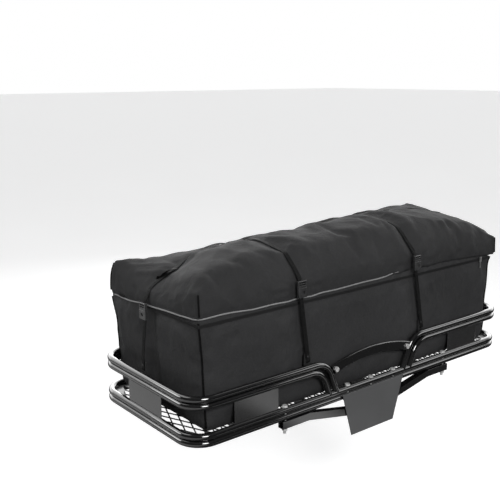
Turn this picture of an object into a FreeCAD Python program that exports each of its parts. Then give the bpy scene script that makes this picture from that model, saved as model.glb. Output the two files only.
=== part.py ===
import FreeCAD, Part
import math
import os
import Sketcher
from FreeCAD import Vector, Placement, Rotation

# Hitch cargo carrier: a tubular steel basket on a 2 inch hitch shank, with a
# soft cargo bag strapped into it.
#
# Everything is drawn in the basket's own frame: origin in the middle of the
# basket in X and Y, z = 0 at the centre of the lowest rail tube. +Y points to
# the vehicle and is called front, -Y is rear, -X is left. HOME moves a piece
# to the part's frame, whose origin is the centre of the hitch pin hole.

doc = FreeCAD.newDocument("HitchCargoCarrier")
sheet = doc.addObject("Spreadsheet::Sheet", "Sizes")
SIZES = [
    ("frame_length", 1524.0),      # over the rails, across the vehicle
    ("frame_width", 560.0),        # over the rails, along the vehicle
    ("tube_dia", 22.2),            # 7/8 inch rail tube
    ("tube_wall", 1.65),
    ("tube_pitch", 22.22),         # stacked pair, centre to centre
    ("rail_rise", 117.8),          # lowest tube centre to upper pair's lower tube centre
    ("corner_rad", 75.0),
    ("upright_rad", 75.0),
    ("upright_lean", 67.5),        # degrees below horizontal
    ("inner_bend_start", 266.0),   # |x| where the top tube starts to bend down
    ("outer_bend_start", 290.0),   # the same for the tube below it
    ("plate_length", 175.0),
    ("end_plate_length", 194.0),
    ("plate_centre", 512.5),
    ("plate_thick", 2.0),
    ("plate_gap", 0.03),
    ("mesh_thick", 2.5),
    ("mesh_bottom", 13.5),
    ("mesh_strand", 4.0),
    ("mesh_pitch_x", 30.0),
    ("mesh_pitch_y", 72.0),
    ("mesh_half_width", 258.4),
    ("mesh_half_length", 740.6),
    ("cross_bar_size", 19.0),
    ("cross_bar_wall", 1.5),
    ("cross_bar_length", 515.4),
    ("brace_size", 25.4),
    ("brace_wall", 2.0),
    ("brace_end", 415.0),
    ("brace_knee", 300.0),
    ("brace_flat", 40.0),
    ("shank_size", 50.8),
    ("shank_wall", 4.76),
    ("shank_length", 916.0),
    ("shank_back", 281.0),         # rear end, distance behind the basket's middle
    ("shank_corner_rad", 4.0),
    ("cap_thick", 2.0),
    ("cap_insert", 5.0),
    ("cap_play", 0.4),
    ("pin_rad", 8.1),
    ("pin_reach", 572.0),
    ("pin_drop", 36.54),
    ("bracket_top", 306.0),        # width at the upper edge
    ("bracket_bottom", 212.0),     # width at the lower edge
    ("bracket_height", 158.0),
    ("bracket_thick", 3.0),
    ("arch_thick", 8.0),
    ("arch_edge_rad", 3.4),
    ("arch_bolt_x", 179.0),
    ("arch_bolt_z", 110.0),
    ("tab_thick", 4.0),
    ("bolt_rad", 4.95),
    ("hole_rad", 5.25),
    ("nut_bore_rad", 5.02),
    ("head_height", 6.4),
    ("nut_height", 8.0),
    ("hex_rad", 9.24),
    ("washer_rad", 10.0),
    ("washer_thick", 2.0),
    ("brace_bolt_length", 90.0),
    ("bracket_bolt_length", 64.0),
    ("clamp_bolt_length", 140.0),
    ("arch_bolt_length", 26.0),
    ("brace_bolt_x", 398.0),
    ("bracket_bolt_x", 115.0),
    ("web_width", 25.0),
    ("web_thick", 1.8),
    ("anchor_thick", 2.0),
    ("rivet_hole", 2.2),           # radius
    ("bag_base", 17.0),
    ("bag_seam", 366.0),
    ("bag_wall", 4.0),
    ("lid_gap", 0.3),
    ("lid_top", 540.0),
    ("cord_rad", 2.5),
    ("cord_height", 376.5),
    ("zip_height", 10.0),
    ("slider_x", 620.0),
    ("slider_width", 10.0),
    ("slider_depth", 5.4),
    ("slider_height", 20.0),
    ("pull_width", 6.0),
    ("pull_depth", 1.8),
    ("pull_height", 24.0),
    ("buckle_width", 35.0),
    ("buckle_depth", 10.0),
    ("socket_length", 32.0),
    ("window_width", 14.0),
    ("window_height", 9.0),
    ("plug_length", 21.5),
    ("slot_width", 27.0),
    ("slot_height", 4.0),
    ("tongue_width", 22.0),
    ("tongue_thick", 3.4),
    ("tongue_length", 23.5),
]
for row, (name, number) in enumerate(SIZES, start=1):
    sheet.set("A%d" % row, name)
    sheet.set("B%d" % row, str(number))
    sheet.setAlias("B%d" % row, name)
doc.recompute()


def size(name):
    return float(sheet.get(name))


def cell(name):
    return "Sizes." + name


def value_of(expression):
    """Value of a sum of products of cells and numbers."""
    total = 0.0
    sign = 1.0
    for word in expression.replace("+", " + ").replace("-", " - ").split():
        if word == "+":
            sign = 1.0
        elif word == "-":
            sign = -1.0
        else:
            product = 1.0
            for factor in word.split("*"):
                product *= size(factor[6:]) if factor.startswith("Sizes.") else float(factor)
            total += sign * product
    return total


HOME = Placement(Vector(0, -size("pin_reach"), size("pin_drop")), Rotation())
X_AXIS, Z_AXIS = Vector(1, 0, 0), Vector(0, 0, 1)
PIECES = []          # (label, object to export)

TUBE_R = size("tube_dia") / 2
RAIL_X = size("frame_length") / 2 - TUBE_R        # rail centre lines
RAIL_Y = size("frame_width") / 2 - TUBE_R
LOWER_Z1 = 0.0                                    # tube centres, from the bottom up
LOWER_Z2 = size("tube_pitch")
UPPER_Z1 = size("rail_rise")
UPPER_Z2 = UPPER_Z1 + size("tube_pitch")

STACK_GAP = 0.03     # between stacked or capped parts
FINE_GAP = 0.02      # under fasteners and other close-fitting parts

# Vertical bolts through the rails, (x, y)
CLAMP_BOLTS = [(0, -RAIL_Y), (0, RAIL_Y)]
BRACKET_BOLTS = [(side * size("bracket_bolt_x"), -RAIL_Y) for side in (-1, 1)]
BRACE_BOLTS = [(side * size("brace_bolt_x"), end * RAIL_Y) for side in (-1, 1) for end in (-1, 1)]


# ------------------------------------------------------------ sketch helpers -
def new_body(label, placement=HOME, export=True):
    body = doc.addObject("PartDesign::Body", "Body_" + label)
    body.Label = label
    body.Placement = placement
    if export:
        PIECES.append((label, body))
    return body


def origin_plane(body, role):
    for plane in body.Origin.OriginFeatures:
        if plane.Role == role:
            return plane
    raise RuntimeError("no plane " + role)


def new_sketch(body, name, role, x=0.0, y=0.0, z=0.0):
    """Sketch on an origin plane, offset in the sketch's own axes.

    The normal of XZ_Plane is -Y, so z = -y puts such a sketch at y.
    """
    sketch = body.newObject("Sketcher::SketchObject", name)
    sketch.AttachmentSupport = (origin_plane(body, role), [""])
    sketch.MapMode = "FlatFace"
    sketch.AttachmentOffset = Placement(Vector(x, y, z), Rotation())
    return sketch


def segment(sketch, start, end):
    sketch.addGeometry(Part.LineSegment(Vector(*start, 0), Vector(*end, 0)), False)


def arc(sketch, start, middle, end):
    curve = Part.Arc(Vector(*start, 0), Vector(*middle, 0), Vector(*end, 0))
    sketch.addGeometry(curve, False)


def polygon(sketch, points):
    for start, end in zip(points, points[1:] + points[:1]):
        segment(sketch, start, end)


def rectangle(sketch, width, height):
    """Rectangle centred on the sketch origin, both sides bound to cells."""
    half_w = value_of(width) / 2
    half_h = value_of(height) / 2
    n = sketch.GeometryCount
    polygon(sketch, [(-half_w, -half_h), (half_w, -half_h), (half_w, half_h), (-half_w, half_h)])
    Constraint = Sketcher.Constraint
    for constraint in (
        Constraint("Coincident", n, 2, n + 1, 1),
        Constraint("Coincident", n + 1, 2, n + 2, 1),
        Constraint("Coincident", n + 2, 2, n + 3, 1),
        Constraint("Coincident", n + 3, 2, n, 1),
        Constraint("Horizontal", n),
        Constraint("Horizontal", n + 2),
        Constraint("Vertical", n + 1),
        Constraint("Vertical", n + 3),
        Constraint("Symmetric", n, 1, n + 1, 2, -1, 1),
    ):
        sketch.addConstraint(constraint)
    across = sketch.addConstraint(Constraint("DistanceX", n, 1, n, 2, 2 * half_w))
    upward = sketch.addConstraint(Constraint("DistanceY", n + 1, 1, n + 1, 2, 2 * half_h))
    sketch.setExpression("Constraints[%d]" % across, width)
    sketch.setExpression("Constraints[%d]" % upward, height)


def circle(sketch, x, y, radius):
    """Circle with its radius bound to an expression."""
    start_radius = value_of(radius)
    n = sketch.addGeometry(Part.Circle(Vector(x, y, 0), Z_AXIS, start_radius), False)
    i = sketch.addConstraint(Sketcher.Constraint("Radius", n, start_radius))
    sketch.setExpression("Constraints[%d]" % i, radius)


def rounded_path(points, radii):
    """Lines and tangent arcs along points; radii has one entry per inner point."""
    curves = []
    here = points[0]
    for before, corner, after, radius in zip(points, points[1:], points[2:], radii):
        back = (before - corner).normalize()
        ahead = (after - corner).normalize()
        half_turn = (math.pi - back.getAngle(ahead)) / 2
        reach = radius * math.tan(half_turn)
        arc_start = corner + back * reach
        arc_end = corner + ahead * reach
        inward = (back + ahead).normalize()
        arc_middle = corner + inward * (radius / math.cos(half_turn) - radius)
        curves.append(Part.LineSegment(here, arc_start))
        curves.append(Part.Arc(arc_start, arc_middle, arc_end))
        here = arc_end
    if here.distanceToPoint(points[-1]) > 1e-6:
        curves.append(Part.LineSegment(here, points[-1]))
    return curves


def draw_rounded(sketch, points, radius):
    corners = [Vector(x, y, 0) for x, y in points]
    for curve in rounded_path(corners, [radius] * (len(points) - 2)):
        sketch.addGeometry(curve, False)


def rounded_rectangle(sketch, x0, x1, y0, y1, radius):
    start = (x0 + radius, y0)
    draw_rounded(sketch, [start, (x1, y0), (x1, y1), (x0, y1), (x0, y0), start], radius)


def offset_open(points, distance):
    """Mitred offset of an open polyline to its left."""
    normals = []
    for (x0, y0), (x1, y1) in zip(points, points[1:]):
        length = math.hypot(x1 - x0, y1 - y0)
        normals.append((-(y1 - y0) / length, (x1 - x0) / length))
    moved = []
    for i, (x, y) in enumerate(points):
        near = normals[max(i - 1, 0):i + 1]
        nx = sum(n[0] for n in near) / len(near)
        ny = sum(n[1] for n in near) / len(near)
        scale = distance / (nx * nx + ny * ny)
        moved.append((x + nx * scale, y + ny * scale))
    return moved


def band(points, left, right):
    """Closed outline between two offsets of an open polyline."""
    return offset_open(points, left) + offset_open(points, right)[::-1]


# ----------------------------------------------------------- feature helpers -
def pad(body, sketch, length, midplane=False, reverse=False, name="Pad"):
    feat = body.newObject("PartDesign::Pad", name)
    feat.Profile = sketch
    feat.Length = value_of(length)
    feat.setExpression("Length", length)
    feat.Midplane = midplane
    feat.Reversed = reverse
    return feat


def pocket(body, sketch, length=None, midplane=True, name="Pocket"):
    """Pocket of a bound length, or through everything when none is given."""
    feat = body.newObject("PartDesign::Pocket", name)
    feat.Profile = sketch
    if length is None:
        feat.Type = "ThroughAll"
    else:
        feat.Length = value_of(length)
        feat.setExpression("Length", length)
    feat.Midplane = midplane
    feat.Reversed = False


def pipe(body, kind, name, profile, spine):
    feat = body.newObject(kind, name)
    feat.Profile = profile
    feat.Spine = (spine, [])
    doc.recompute()


def fillet_long_edges(body, base, name, radius_cell, is_wanted):
    numbered = enumerate(base.Shape.Edges, start=1)
    edges = ["Edge%d" % i for i, edge in numbered if is_wanted(edge.Length)]
    feat = body.newObject("PartDesign::Fillet", name)
    feat.Base = (base, edges)
    feat.Radius = size(radius_cell)
    feat.setExpression("Radius", cell(radius_cell))
    doc.recompute()


def feature(label, shape, placement=HOME):
    feat = doc.addObject("Part::Feature", "Feat_" + label)
    feat.Label = label
    feat.Shape = shape
    feat.Placement = placement
    PIECES.append((label, feat))


def mirrored(shape):
    """The same shape on the other side, left to right."""
    return shape.mirror(Vector(0, 0, 0), X_AXIS)


def boolean(kind, name, base, tool):
    feat = doc.addObject(kind, name)
    feat.Base = base
    feat.Tool = tool
    return feat


def centred_box(name, width, depth, height, y, z, x=0.0):
    """Box bound to expressions, centred on x and standing on z."""
    box = doc.addObject("Part::Box", name)
    for prop, expression in (("Length", width), ("Width", depth), ("Height", height)):
        setattr(box, prop, value_of(expression))
        box.setExpression(prop, expression)
    box.Placement = Placement(Vector(x - value_of(width) / 2, y, z), Rotation())
    return box


def round_all_edges(name, base, radius):
    doc.recompute()
    feat = doc.addObject("Part::Fillet", name)
    feat.Base = base
    feat.Edges = [(i, radius, radius) for i in range(1, len(base.Shape.Edges) + 1)]
    return feat


# --------------------------------------------------------- lower rail rings -
def lower_ring(label, z):
    """Closed ring of round tube, drilled for the bolts that pass down through it."""
    body = new_body(label)
    spine = new_sketch(body, "Path_" + label, "XY_Plane", z=z)
    start = (0, -RAIL_Y)         # the section stands here, in the middle of the rear rail
    corners = [(RAIL_X, -RAIL_Y), (RAIL_X, RAIL_Y), (-RAIL_X, RAIL_Y), (-RAIL_X, -RAIL_Y)]
    draw_rounded(spine, [start] + corners + [start], size("corner_rad"))
    section = new_sketch(body, "Section_" + label, "YZ_Plane")
    circle(section, -RAIL_Y, z, "0.5*Sizes.tube_dia")
    pipe(body, "PartDesign::AdditivePipe", "Tube_" + label, section, spine)
    bore = new_sketch(body, "Bore_" + label, "YZ_Plane")
    circle(bore, -RAIL_Y, z, "0.5*Sizes.tube_dia - Sizes.tube_wall")
    pipe(body, "PartDesign::SubtractivePipe", "Hollow_" + label, bore, spine)
    holes = new_sketch(body, "Holes_" + label, "XY_Plane", z=z)
    for x, y in CLAMP_BOLTS + BRACKET_BOLTS + BRACE_BOLTS:
        circle(holes, x, y, cell("hole_rad"))
    pocket(body, holes, "2*Sizes.tube_dia", name="Drill_" + label)


lower_ring("lower_rail_bottom", LOWER_Z1)
lower_ring("lower_rail_top", LOWER_Z2)


# --------------------------------------------------------- upper rail tubes -
# Each half has a stacked pair. Towards the middle of the rear and the front
# each tube turns down and lands on the lower rail with a coped end.
def upper_tube(z, bend_start):
    """Left half; bend_start is the |x| where the straight rail ends."""
    lean = math.radians(size("upright_lean"))
    foot_z = LOWER_Z2 + 2.5      # inside the lower tube, so that the cope trims it
    apex_x = -bend_start + size("upright_rad") * math.tan(lean / 2)
    foot_x = apex_x + (z - foot_z) / math.tan(lean)
    points = [
        Vector(foot_x, -RAIL_Y, foot_z), Vector(apex_x, -RAIL_Y, z), Vector(-RAIL_X, -RAIL_Y, z),
        Vector(-RAIL_X, RAIL_Y, z), Vector(apex_x, RAIL_Y, z), Vector(foot_x, RAIL_Y, foot_z),
    ]
    radii = [size(name) for name in ("upright_rad", "corner_rad", "corner_rad", "upright_rad")]
    wire = Part.Wire([curve.toShape() for curve in rounded_path(points, radii)])

    def swept(radius):
        ring = Part.makeCircle(radius, points[0], points[1] - points[0])
        return wire.makePipeShell([Part.Wire([ring])], True, True)

    tube = swept(TUBE_R).cut(swept(TUBE_R - size("tube_wall")))
    for y in (-RAIL_Y, RAIL_Y):
        start = Vector(-RAIL_X, y, LOWER_Z2)
        tube = tube.cut(Part.makeCylinder(TUBE_R + 0.02, 2 * RAIL_X, start, X_AXIS))
    # any offcut left below the cope is smaller than the tube
    return max(tube.Solids, key=lambda solid: solid.Volume)


for position, z, bend_cell in (("bottom", UPPER_Z1, "outer_bend_start"),
                               ("top", UPPER_Z2, "inner_bend_start")):
    half = upper_tube(z, size(bend_cell))
    feature("left_upper_rail_" + position, half)
    feature("right_upper_rail_" + position, mirrored(half))


# -------------------------------------------------------------- side plates -
PLATE_Z = (LOWER_Z2 + UPPER_Z1) / 2
PLATE_HEIGHT = "Sizes.rail_rise - Sizes.tube_pitch - Sizes.tube_dia - 2*Sizes.plate_gap"
PLATE_X = size("plate_centre")


def side_plate(label, role, along, normal, length_cell):
    """Sheet between the lower and upper rails; along and normal are sketch offsets."""
    body = new_body(label)
    sketch = new_sketch(body, "Outline_" + label, role, x=along, y=PLATE_Z, z=normal)
    rectangle(sketch, cell(length_cell), PLATE_HEIGHT)
    pad(body, sketch, cell("plate_thick"), midplane=True, name="Sheet_" + label)


side_plate("rear_left_side_plate", "XZ_Plane", -PLATE_X, RAIL_Y, "plate_length")
side_plate("rear_right_side_plate", "XZ_Plane", PLATE_X, RAIL_Y, "plate_length")
side_plate("front_left_side_plate", "XZ_Plane", -PLATE_X, -RAIL_Y, "plate_length")
side_plate("front_right_side_plate", "XZ_Plane", PLATE_X, -RAIL_Y, "plate_length")
side_plate("left_end_plate", "YZ_Plane", 0, -RAIL_X, "end_plate_length")
side_plate("right_end_plate", "YZ_Plane", 0, RAIL_X, "end_plate_length")


# --------------------------------------------------------------- mesh floor -
# Expanded steel sheet in two panels that meet at the middle. The short way of
# each diamond runs along X.
MESH_SEAM_X = -1.0       # inner edge of the left panel
MESH_RIM = 3.0           # solid border
SMALLEST_OPENING = 40.0  # area below which a clipped diamond is left out
SHORTEST_SIDE = 0.05     # closer points of a clipped diamond are merged


def clip(points, axis, limit, keep_less):
    """The part of a polygon on one side of a line across the given axis."""
    def inside(p):
        return p[axis] <= limit if keep_less else p[axis] >= limit

    def close(p, q):
        return math.hypot(p[0] - q[0], p[1] - q[1]) <= SHORTEST_SIDE

    kept = []
    for p, q in zip(points, points[1:] + points[:1]):
        if inside(p):
            kept.append(p)
        if inside(p) != inside(q):
            f = (limit - p[axis]) / (q[axis] - p[axis])
            kept.append((p[0] + f * (q[0] - p[0]), p[1] + f * (q[1] - p[1])))
    clean = []
    for p in kept:
        if not clean or not close(p, clean[-1]):
            clean.append(p)
    if len(clean) > 1 and close(clean[0], clean[-1]):
        clean.pop()
    return clean


def area(points):
    pairs = zip(points, points[1:] + points[:1])
    return abs(sum(p[0] * q[1] - q[0] * p[1] for p, q in pairs)) / 2


def mesh_openings(half_length, half_width, corner_rad):
    """Diamonds of the left panel, clipped to the rim and clear of the corners."""
    pitch_x, pitch_y = size("mesh_pitch_x"), size("mesh_pitch_y")
    strand = size("mesh_strand")         # measured across its own direction
    slant = math.hypot(pitch_x, pitch_y)
    half_x = pitch_x / 2 - strand * slant / pitch_y / 2
    half_y = pitch_y / 2 - strand * slant / pitch_x / 2
    limits = (                           # axis, limit, keep the lesser side
        (0, -half_length + MESH_RIM, False), (0, MESH_SEAM_X - MESH_RIM, True),
        (1, -half_width + MESH_RIM, False), (1, half_width - MESH_RIM, True),
    )
    centre_x, centre_y = -half_length + corner_rad, half_width - corner_rad

    def in_corner(p):
        beyond_x, beyond_y = p[0] - centre_x, abs(p[1]) - centre_y
        return (beyond_x < 0 and beyond_y > 0
                and math.hypot(beyond_x, beyond_y) > corner_rad - MESH_RIM)

    openings = []
    last_row = int(2 * half_width / pitch_y) + 2
    for column in range(math.ceil((half_length + pitch_x) / (pitch_x / 2))):
        x = -column * pitch_x / 2
        shift = pitch_y / 2 if column % 2 else 0
        for row in range(-last_row, last_row + 1):
            y = row * pitch_y + shift
            diamond = [(x - half_x, y), (x, y - half_y), (x + half_x, y), (x, y + half_y)]
            for axis, limit, keep_less in limits:
                if len(diamond) >= 3:
                    diamond = clip(diamond, axis, limit, keep_less)
            if len(diamond) < 3 or area(diamond) < SMALLEST_OPENING:
                continue
            if not any(in_corner(p) for p in diamond):
                openings.append(diamond)
    return openings


def mesh_panel():
    half_length, half_width = size("mesh_half_length"), size("mesh_half_width")
    corner_rad = size("corner_rad") - TUBE_R - 1.5
    z = size("mesh_bottom")
    corners = [
        Vector(MESH_SEAM_X, half_width, z), Vector(-half_length, half_width, z),
        Vector(-half_length, -half_width, z), Vector(MESH_SEAM_X, -half_width, z),
    ]
    outline = [Part.LineSegment(corners[-1], corners[0])]
    outline += rounded_path(corners, [corner_rad] * 2)
    wires = [Part.Wire([curve.toShape() for curve in outline])]
    for diamond in mesh_openings(half_length, half_width, corner_rad):
        wires.append(Part.makePolygon([Vector(x, y, z) for x, y in diamond + diamond[:1]]))
    face = Part.Face(wires)
    face.validate()
    return face.extrude(Vector(0, 0, size("mesh_thick")))


panel = mesh_panel()
feature("left_floor_mesh", panel)
feature("right_floor_mesh", mirrored(panel))


# --------------------------------------------------------- floor cross bars -
def cross_bar(label, x):
    """Square tube along Y, just under the mesh."""
    body = new_body(label)
    z = size("mesh_bottom") - FINE_GAP - size("cross_bar_size") / 2
    sketch = new_sketch(body, "Section_" + label, "XZ_Plane", x=x, y=z)
    inside = "Sizes.cross_bar_size - 2*Sizes.cross_bar_wall"
    rectangle(sketch, cell("cross_bar_size"), cell("cross_bar_size"))
    rectangle(sketch, inside, inside)
    pad(body, sketch, cell("cross_bar_length"), midplane=True, name="Bar_" + label)


CROSS_BAR_PITCH = 280.0
for step, place_name in enumerate(
        ("left_outer", "left_inner", "centre", "right_inner", "right_outer"), start=-2):
    cross_bar(place_name + "_cross_bar", step * CROSS_BAR_PITCH)


# -------------------------------------------------------------- drop braces -
# Square tube, flat under the lower rail at its ends and dropped in the middle
# so that the shank lies between it and the rail.
SHANK_TOP = LOWER_Z1 - TUBE_R - STACK_GAP
SHANK_MID = SHANK_TOP - size("shank_size") / 2
BRACE_END_Z = SHANK_TOP - size("brace_size") / 2
BRACE_MID_Z = SHANK_TOP - size("shank_size") - STACK_GAP - size("brace_size") / 2


def drop_brace(label, y):
    body = new_body(label)
    end, knee, flat = size("brace_end"), size("brace_knee"), size("brace_flat")
    middle = [(-knee, BRACE_END_Z), (-flat, BRACE_MID_Z), (flat, BRACE_MID_Z), (knee, BRACE_END_Z)]

    def centre_line(reach):
        return [(-reach, BRACE_END_Z)] + middle + [(reach, BRACE_END_Z)]

    half = size("brace_size") / 2
    outline = new_sketch(body, "Outline_" + label, "XZ_Plane", z=-y)
    polygon(outline, band(centre_line(end), half, -half))
    pad(body, outline, cell("brace_size"), midplane=True, name="Tube_" + label)
    doc.recompute()
    half_bore = half - size("brace_wall")
    bore = new_sketch(body, "Bore_" + label, "XZ_Plane", z=-y)
    # the bore runs 5 mm past both ends so that they stay open
    polygon(bore, band(centre_line(end + 5), half_bore, -half_bore))
    pocket(body, bore, "Sizes.brace_size - 2*Sizes.brace_wall", name="Hollow_" + label)
    doc.recompute()
    holes = new_sketch(body, "Holes_" + label, "XY_Plane")
    for x in (-size("brace_bolt_x"), 0, size("brace_bolt_x")):
        circle(holes, x, y, cell("hole_rad"))
    pocket(body, holes, "8*Sizes.brace_size", name="Drill_" + label)


drop_brace("rear_drop_brace", -RAIL_Y)
drop_brace("front_drop_brace", RAIL_Y)


# -------------------------------------------------------------- hitch shank -
SHANK_INSIDE = "Sizes.shank_size - 2*Sizes.shank_wall"


def hitch_shank():
    """Square tube from behind the rear rail forward to the receiver."""
    body = new_body("hitch_shank")
    back, length = size("shank_back"), size("shank_length")
    section = new_sketch(body, "ShankSection", "XZ_Plane", y=SHANK_MID, z=back)
    rectangle(section, cell("shank_size"), cell("shank_size"))
    bar = pad(body, section, cell("shank_length"), reverse=True, name="ShankBar")
    doc.recompute()
    fillet_long_edges(body, bar, "ShankCorners", "shank_corner_rad",
                      lambda edge_length: abs(edge_length - length) < 0.5)
    # the bore runs 5 mm past both ends
    bore = new_sketch(body, "ShankBore", "XZ_Plane", y=SHANK_MID, z=back + 5)
    rectangle(bore, SHANK_INSIDE, SHANK_INSIDE)
    pocket(body, bore, "Sizes.shank_length + 10", midplane=False, name="ShankHollow")
    doc.recompute()
    pin = new_sketch(body, "PinHole", "YZ_Plane")
    circle(pin, size("pin_reach"), SHANK_MID, cell("pin_rad"))
    pocket(body, pin, "2*Sizes.shank_size", name="PinBore")
    doc.recompute()
    holes = new_sketch(body, "ClampHoles", "XY_Plane")
    for x, y in CLAMP_BOLTS:
        circle(holes, x, y, cell("hole_rad"))
    pocket(body, holes, "6*Sizes.shank_size", name="ClampBores")


def shank_end_cap():
    """Flange over the shank's rear end with a square plug inside it."""
    body = new_body("shank_end_cap")
    face = size("shank_back") + STACK_GAP
    flange = new_sketch(body, "CapFace", "XZ_Plane", y=SHANK_MID, z=face)
    rectangle(flange, cell("shank_size"), cell("shank_size"))
    pad(body, flange, cell("cap_thick"), name="CapFlange")
    doc.recompute()
    spigot = new_sketch(body, "CapSpigot", "XZ_Plane", y=SHANK_MID, z=face)
    spigot_side = SHANK_INSIDE + " - Sizes.cap_play"
    rectangle(spigot, spigot_side, spigot_side)
    pad(body, spigot, cell("cap_insert"), reverse=True, name="CapInsert")


hitch_shank()
shank_end_cap()


# ----------------------------------------------------- number plate bracket -
def number_plate_bracket():
    """Trapezoid sheet behind the rear rail, with two bolted tabs under the rail."""
    face_y = -283.2
    tab_front_y = -257
    tab_half_width = 20
    body = new_body("number_plate_bracket")
    half_top, half_bottom = size("bracket_top") / 2, size("bracket_bottom") / 2
    top_z = LOWER_Z1 + TUBE_R
    bottom_z = top_z - size("bracket_height")
    outline = new_sketch(body, "PlateOutline", "XZ_Plane", z=-face_y)
    polygon(outline, [(-half_top, top_z), (half_top, top_z),
                      (half_bottom, bottom_z), (-half_bottom, bottom_z)])
    pad(body, outline, cell("bracket_thick"), name="PlateSheet")
    doc.recompute()
    tab_z = LOWER_Z1 - TUBE_R - STACK_GAP
    tab_rear_y = face_y - 1          # 1 mm into the sheet
    tabs = new_sketch(body, "TabOutline", "XY_Plane", z=tab_z)
    for x, _ in BRACKET_BOLTS:
        left, right = x - tab_half_width, x + tab_half_width
        polygon(tabs, [(left, tab_rear_y), (right, tab_rear_y),
                       (right, tab_front_y), (left, tab_front_y)])
    pad(body, tabs, cell("bracket_thick"), reverse=True, name="Tabs")
    doc.recompute()
    holes = new_sketch(body, "TabHoles", "XY_Plane", z=tab_z)
    for x, y in BRACKET_BOLTS:
        circle(holes, x, y, cell("hole_rad"))
    pocket(body, holes, "4*Sizes.bracket_thick", name="TabDrill")


number_plate_bracket()


# ----------------------------------------------------- centre arch and tabs -
# (x, z) at the left end, the middle and the right end of each edge
ARCH_TOP = [(-198.5, 123.4), (0, 153.5), (198.5, 123.4)]
ARCH_LOW = [(-180.0, 92.6), (0, 119.5), (180.0, 92.6)]
ARCH_Y = RAIL_Y + 4.2                # |y| of the bar's middle plane
ARCH_TAB_X = 168.0                   # |x| of the tab's straight upright edge
ARCH_TAB_HALF_HEIGHT = 13.0


def arch_bar(label, y):
    body = new_body(label)
    outline = new_sketch(body, "Outline_" + label, "XZ_Plane", z=-y)
    arc(outline, *ARCH_TOP)
    segment(outline, ARCH_TOP[2], ARCH_LOW[2])
    arc(outline, *ARCH_LOW)
    segment(outline, ARCH_LOW[0], ARCH_TOP[0])
    bar = pad(body, outline, cell("arch_thick"), midplane=True, name="Bar_" + label)
    doc.recompute()
    fillet_long_edges(body, bar, "Edges_" + label, "arch_edge_rad",
                      lambda edge_length: edge_length > 200)
    holes = new_sketch(body, "Holes_" + label, "XZ_Plane", z=-y)
    for side in (-1, 1):
        circle(holes, side * size("arch_bolt_x"), size("arch_bolt_z"), cell("hole_rad"))
    pocket(body, holes, "4*Sizes.arch_thick", name="Drill_" + label)


def arch_tabs(label, y):
    """Two small tabs on the uprights, curved to the upright's bend; y is the -Y face."""
    radius = size("upright_rad") + TUBE_R + 0.05
    bend_x, bend_z = -size("inner_bend_start"), UPPER_Z2 - size("upright_rad")
    bolt_z, thick = size("arch_bolt_z"), size("tab_thick")
    low_z, high_z = bolt_z - ARCH_TAB_HALF_HEIGHT, bolt_z + ARCH_TAB_HALF_HEIGHT

    def on_bend(z):
        return Vector(bend_x + math.sqrt(radius * radius - (z - bend_z) ** 2), y, z)

    straight_low, straight_high = Vector(-ARCH_TAB_X, y, low_z), Vector(-ARCH_TAB_X, y, high_z)
    curves = [
        Part.LineSegment(straight_low, straight_high),
        Part.LineSegment(straight_high, on_bend(high_z)),
        Part.Arc(on_bend(high_z), on_bend(bolt_z), on_bend(low_z)),
        Part.LineSegment(on_bend(low_z), straight_low),
    ]
    outline = Part.Wire([curve.toShape() for curve in curves])
    tab = Part.Face(outline).extrude(Vector(0, thick, 0))
    drill_start = Vector(-size("arch_bolt_x"), y - thick, bolt_z)
    tab = tab.cut(Part.makeCylinder(size("hole_rad"), 3 * thick, drill_start, Vector(0, 1, 0)))
    feature(label, Part.makeCompound([tab, mirrored(tab)]))


arch_bar("rear_arch_bar", -ARCH_Y)
arch_bar("front_arch_bar", ARCH_Y)
arch_tabs("rear_arch_tabs", -RAIL_Y + FINE_GAP)
arch_tabs("front_arch_tabs", RAIL_Y - FINE_GAP - size("tab_thick"))


# ---------------------------------------------------------------- fasteners -
def hexagon(name, height_cell):
    prism = doc.addObject("Part::Prism", name)
    prism.Polygon = 6
    prism.setExpression("Circumradius", cell("hex_rad"))
    prism.setExpression("Height", cell(height_cell))
    return prism


def cylinder(name, radius_cell, height, z=0.0):
    rod = doc.addObject("Part::Cylinder", name)
    rod.setExpression("Radius", cell(radius_cell))
    rod.setExpression("Height", height)
    rod.Placement = Placement(Vector(0, 0, z), Rotation())
    return rod


def hex_bolt(name):
    """Hex head standing on z = 0 and a plain shank going down."""
    head = hexagon(name + "_head", "head_height")
    length_cell = name + "_length"
    rod = cylinder(name + "_rod", "bolt_rad", cell(length_cell), z=-size(length_cell))
    bolt = boolean("Part::Fuse", name, head, rod)
    doc.recompute()
    return bolt.Shape.copy()


def hex_nut():
    bore = cylinder("nut_bore", "nut_bore_rad", "3*Sizes.nut_height", z=-5)
    nut = boolean("Part::Cut", "nut_shape", hexagon("nut_hex", "nut_height"), bore)
    doc.recompute()
    return nut.Shape.copy()


def flat_washer():
    disc = cylinder("washer_disc", "washer_rad", cell("washer_thick"))
    bore = cylinder("washer_bore", "hole_rad", "5*Sizes.washer_thick", z=-2)
    washer = boolean("Part::Cut", "washer_shape", disc, bore)
    doc.recompute()
    return washer.Shape.copy()


def placed(shape, position, rotation=None):
    copy = shape.copy()
    copy.Placement = Placement(position, rotation or Rotation())
    return copy


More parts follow.
